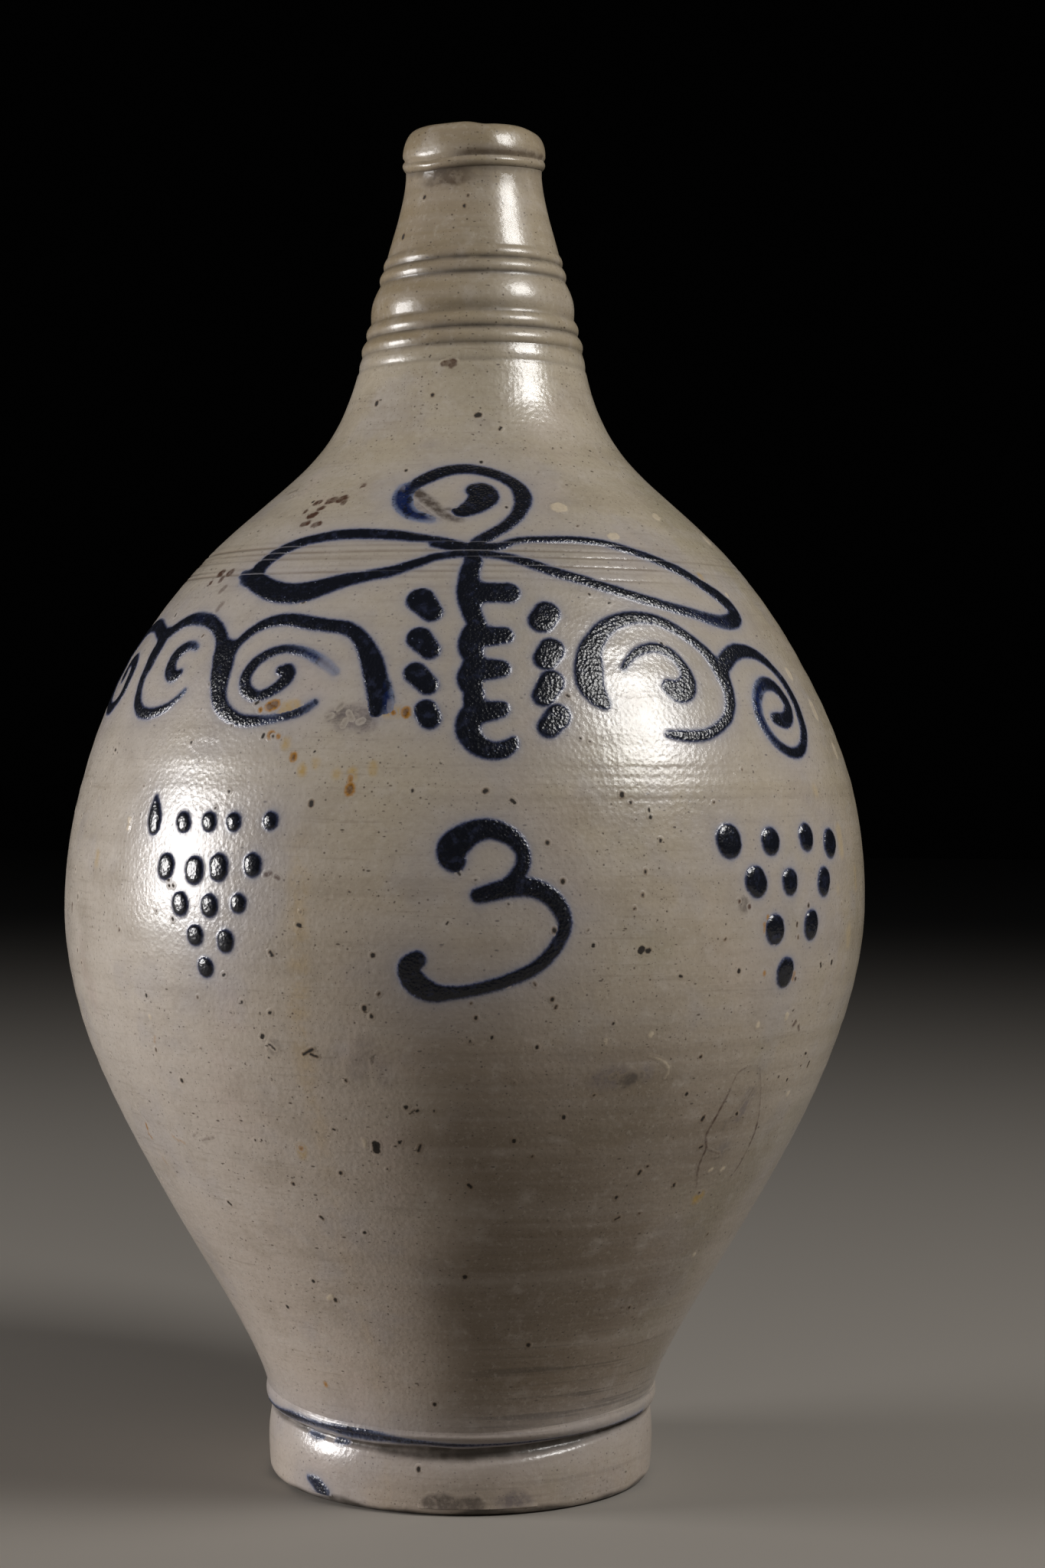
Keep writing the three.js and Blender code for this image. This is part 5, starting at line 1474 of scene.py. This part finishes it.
def mark_finish(kind):
    """A stain with soft ragged edges. A pit is dull, with a brown rim, and rust is darkest within."""
    def finish(n, colour, rough, height):
        place = n.place()
        ragged = n.strayed(n.value_of("depth"), n.noise(place, 1500, 3, 0.7), 0.6)
        patches = n.ramp(n.noise(place, 420, 4, 0.7), 0.36, 0.6, 1 - kind.patchy, 1)
        share = n.times(n.ramp(ragged, -kind.outer, kind.inner), kind.strength, patches,
                        n.math("SUBTRACT", 1.0, n.value_of("wash")))
        if kind.pitted:
            rough = n.plus(rough, n.times(share, 0.5))
            stained = n.ramp(n.noise(place, 60, 2), 0.4, 0.6, 0.1, 0.6)
            colour = n.mix(n.times(n.ramp(ragged, -0.5, 0.0), stained), colour, PIT_RIM)
        inside = kind.colour
        if kind.colour == RUST:
            inside = n.mix(n.ramp(ragged, 0.35, 1.0, 0, 0.8), RUST, RUST_CORE)
        return n.mix(share, colour, inside), rough, height
    return finish


def coated(obj, material):
    obj.data.materials.clear()
    obj.data.materials.append(material)


def add_decoration():
    slip = glaze_material("cobalt_slip", cobalt_finish(grain=1.0, shine=0.27), coat=0.25, specular=0.4)
    bead = glaze_material("cobalt_bead", cobalt_finish(grain=0.5, shine=0.23), coat=0.28, specular=0.45)
    stroke_form = (STROKE_HEIGHT, STROKE_SHOULDER, SLIP_SKIRT)
    dot_form = (DOT_HEIGHT, DOT_SHOULDER, SLIP_SKIRT)
    drop_form = (DROP_HEIGHT, DROP_SHOULDER, SLIP_SKIRT)
    foot_form = (FOOT_STROKE_HEIGHT, FOOT_STROKE_SHOULDER, FOOT_SKIRT)
    for name, clusters, form, cut, material in (
            ("bow_and_curl", [CURL, WINGS], stroke_form, LINE_CUT, slip),
            ("stalk", [STALK], stroke_form, 0.0, slip),
            ("stalk_dots", [[s] for s in STALK_DOTS], dot_form, 0.0, slip),
            ("scrolls_left", [SCROLLS_LEFT], stroke_form, 0.0, slip),
            ("scrolls_right", [SCROLLS_RIGHT], stroke_form, 0.0, slip),
            ("numeral_three", [NUMERAL], stroke_form, 0.0, slip),
            ("drops_left", [[drop(*d)] for d in DROPS_LEFT] + [[LEAF_DROP]], drop_form, 0.0, bead),
            ("drops_right", [[drop(*d)] for d in DROPS_RIGHT], drop_form, 0.0, bead),
            ("foot_stroke", [[s] for s in FOOT_STROKE], foot_form, 0.0, slip)):
        obj = trailed(name, clusters, *form, cut=cut)
        coated(obj, material)
        settled(obj)


def add_marks():
    marks = (
        Mark("faint_smudges", FAINT_SMUDGES, SMUDGE_LILAC, 1.2, 2.6, 1.0, 0.6, 0.0, 0.0, 1.6, False),
        Mark("tan_patches", TAN_PATCHES, STAIN_TAN, 1.2, 1.8, 0.8, 0.3, 0.003, 0.0, 1.6, False),
        Mark("yellow_stains", YELLOW_STAINS, YELLOW, 1.2, 1.3, 1.0, 0.45, 0.006, 0.0, 1.6, False),
        Mark("smudges", SMUDGES, SMUDGE_GREY, 1.0, 1.0, 1.0, 0.45, 0.009, 0.0, 1.4, False),
        Mark("rust_spots", RUST_SPOTS, RUST, 0.6, 0.5, 1.0, 0.3, 0.012, 0.0, 1.2, False),
        Mark("brown_stains", BROWN_STAINS, STAIN_BROWN, 0.5, 0.5, 0.95, 0.35, 0.015, 0.01, 1.1, False),
        Mark("pale_drops", PALE_DROPS, CREAM, 0.4, 0.4, 0.85, 0.3, 0.018, 0.10, 1.0, False),
        Mark("iron_spots", IRON_SPOTS, PIT_BLACK, 0.2, 0.3, 1.0, 0.0, 0.022, 0.0, 1.0, True))
    for kind in marks:
        obj = trailed(kind.name, [mark(row) for row in kind.rows], kind.raised, MARK_SHOULDER, MARK_SKIRT,
                      wander=PIT_WANDER if kind.pitted else MARK_WANDER, cell=MARK_CELL, layer=kind.layer,
                      rim=kind.rim)
        coated(obj, glaze_material(kind.name, mark_finish(kind), coat=0.0 if kind.pitted else 0.5))
        settled(obj)


def add_camera():
    yaw, pitch, roll = (math.radians(a) for a in (CAMERA_YAW, CAMERA_PITCH, CAMERA_ROLL))
    forward = Vector((math.sin(yaw) * math.cos(pitch), math.cos(yaw) * math.cos(pitch), math.sin(pitch)))
    level_right = Vector((math.cos(yaw), -math.sin(yaw), 0))
    level_up = level_right.cross(forward)
    right = level_right * math.cos(roll) + level_up * math.sin(roll)
    up = level_up * math.cos(roll) - level_right * math.sin(roll)
    data = bpy.data.cameras.new("photo_camera")
    data.sensor_fit = "AUTO"
    data.sensor_width = SENSOR
    data.lens = FOCAL_PIXELS * SENSOR / PHOTO_HEIGHT
    data.clip_start = 0.05
    camera = bpy.data.objects.new("photo_camera", data)
    turn = Matrix((right, up, -forward)).transposed().to_4x4()
    camera.matrix_world = Matrix.Translation(Vector(CAMERA_PLACE)) @ turn
    bpy.context.scene.collection.objects.link(camera)
    bpy.context.scene.camera = camera


# The place of each light, the point that it faces, its size, its watts and its colour.
LIGHTS = (
    ("left_light", (-1.97, -0.2, 0.48), (0, 0, 0.25), (0.75, 0.75), 37, (1.0, 0.98, 0.97)),
    ("right_softbox", (1.07, -0.6, 1.2), (0, 0, 0.27), (0.57, 0.57), 19.3, (1.0, 0.985, 0.96)),
)


def add_light(name, place, target, size, watts, colour):
    data = bpy.data.lights.new(name, "AREA")
    data.shape = "RECTANGLE"
    data.size, data.size_y = size
    data.energy = watts
    data.color = colour
    light = bpy.data.objects.new(name, data)
    way = Vector(target) - Vector(place)
    light.matrix_world = Matrix.Translation(Vector(place)) @ way.to_track_quat("-Z", "Y").to_matrix().to_4x4()
    bpy.context.scene.collection.objects.link(light)


def add_surroundings():
    for light in LIGHTS:
        add_light(*light)
    world = bpy.data.worlds.new("dark_room")
    world.use_nodes = True
    world.node_tree.nodes["Background"].inputs["Color"].default_value = ROOM_BLACK
    world.node_tree.nodes["Background"].inputs["Strength"].default_value = 1.0
    bpy.context.scene.world = world
    floor = new_object("floor", [(-4, -3, 0), (4, -3, 0), (4, 5, 0), (-4, 5, 0)], [(0, 1, 2, 3)])
    material = bpy.data.materials.new("floor_paper")
    material.use_nodes = True
    shader = material.node_tree.nodes["Principled BSDF"]
    n = Nodes(material.node_tree)
    # The floor is pale near the jug and fades to near black further off: a painted pool of light.
    away = n.add("VectorMath", {"operation": "LENGTH"}, Vector=n.place()).outputs["Value"]
    n.feed(shader.inputs["Base Color"], n.mix(n.ramp(away, 0.7, 3.2), FLOOR_PALE, FLOOR_DARK))
    shader.inputs["Roughness"].default_value = 0.75
    coated(floor, material)


salt_glaze = salt_glaze_group()
every_stroke = CURL + WINGS + STALK + STALK_DOTS + SCROLLS_LEFT + SCROLLS_RIGHT + NUMERAL + FOOT_STROKE
every_stroke = every_stroke + [drop(*d) for d in DROPS_LEFT + DROPS_RIGHT] + [LEAF_DROP]
every_line = [smooth_line(stroke) for stroke in every_stroke]
body_material = glaze_material("salt_glazed_body")
neck_material = glaze_material("salt_glazed_neck", coat=0.3)
foot, lower, upper, neck, lip = add_vessel()
for obj in (foot, lower, upper):
    coated(obj, body_material)
for obj in (neck, lip):
    coated(obj, neck_material)
coated(add_handle(), body_material)
add_decoration()
add_marks()
add_camera()
add_surroundings()
bpy.context.scene.view_settings.view_transform = "Standard"
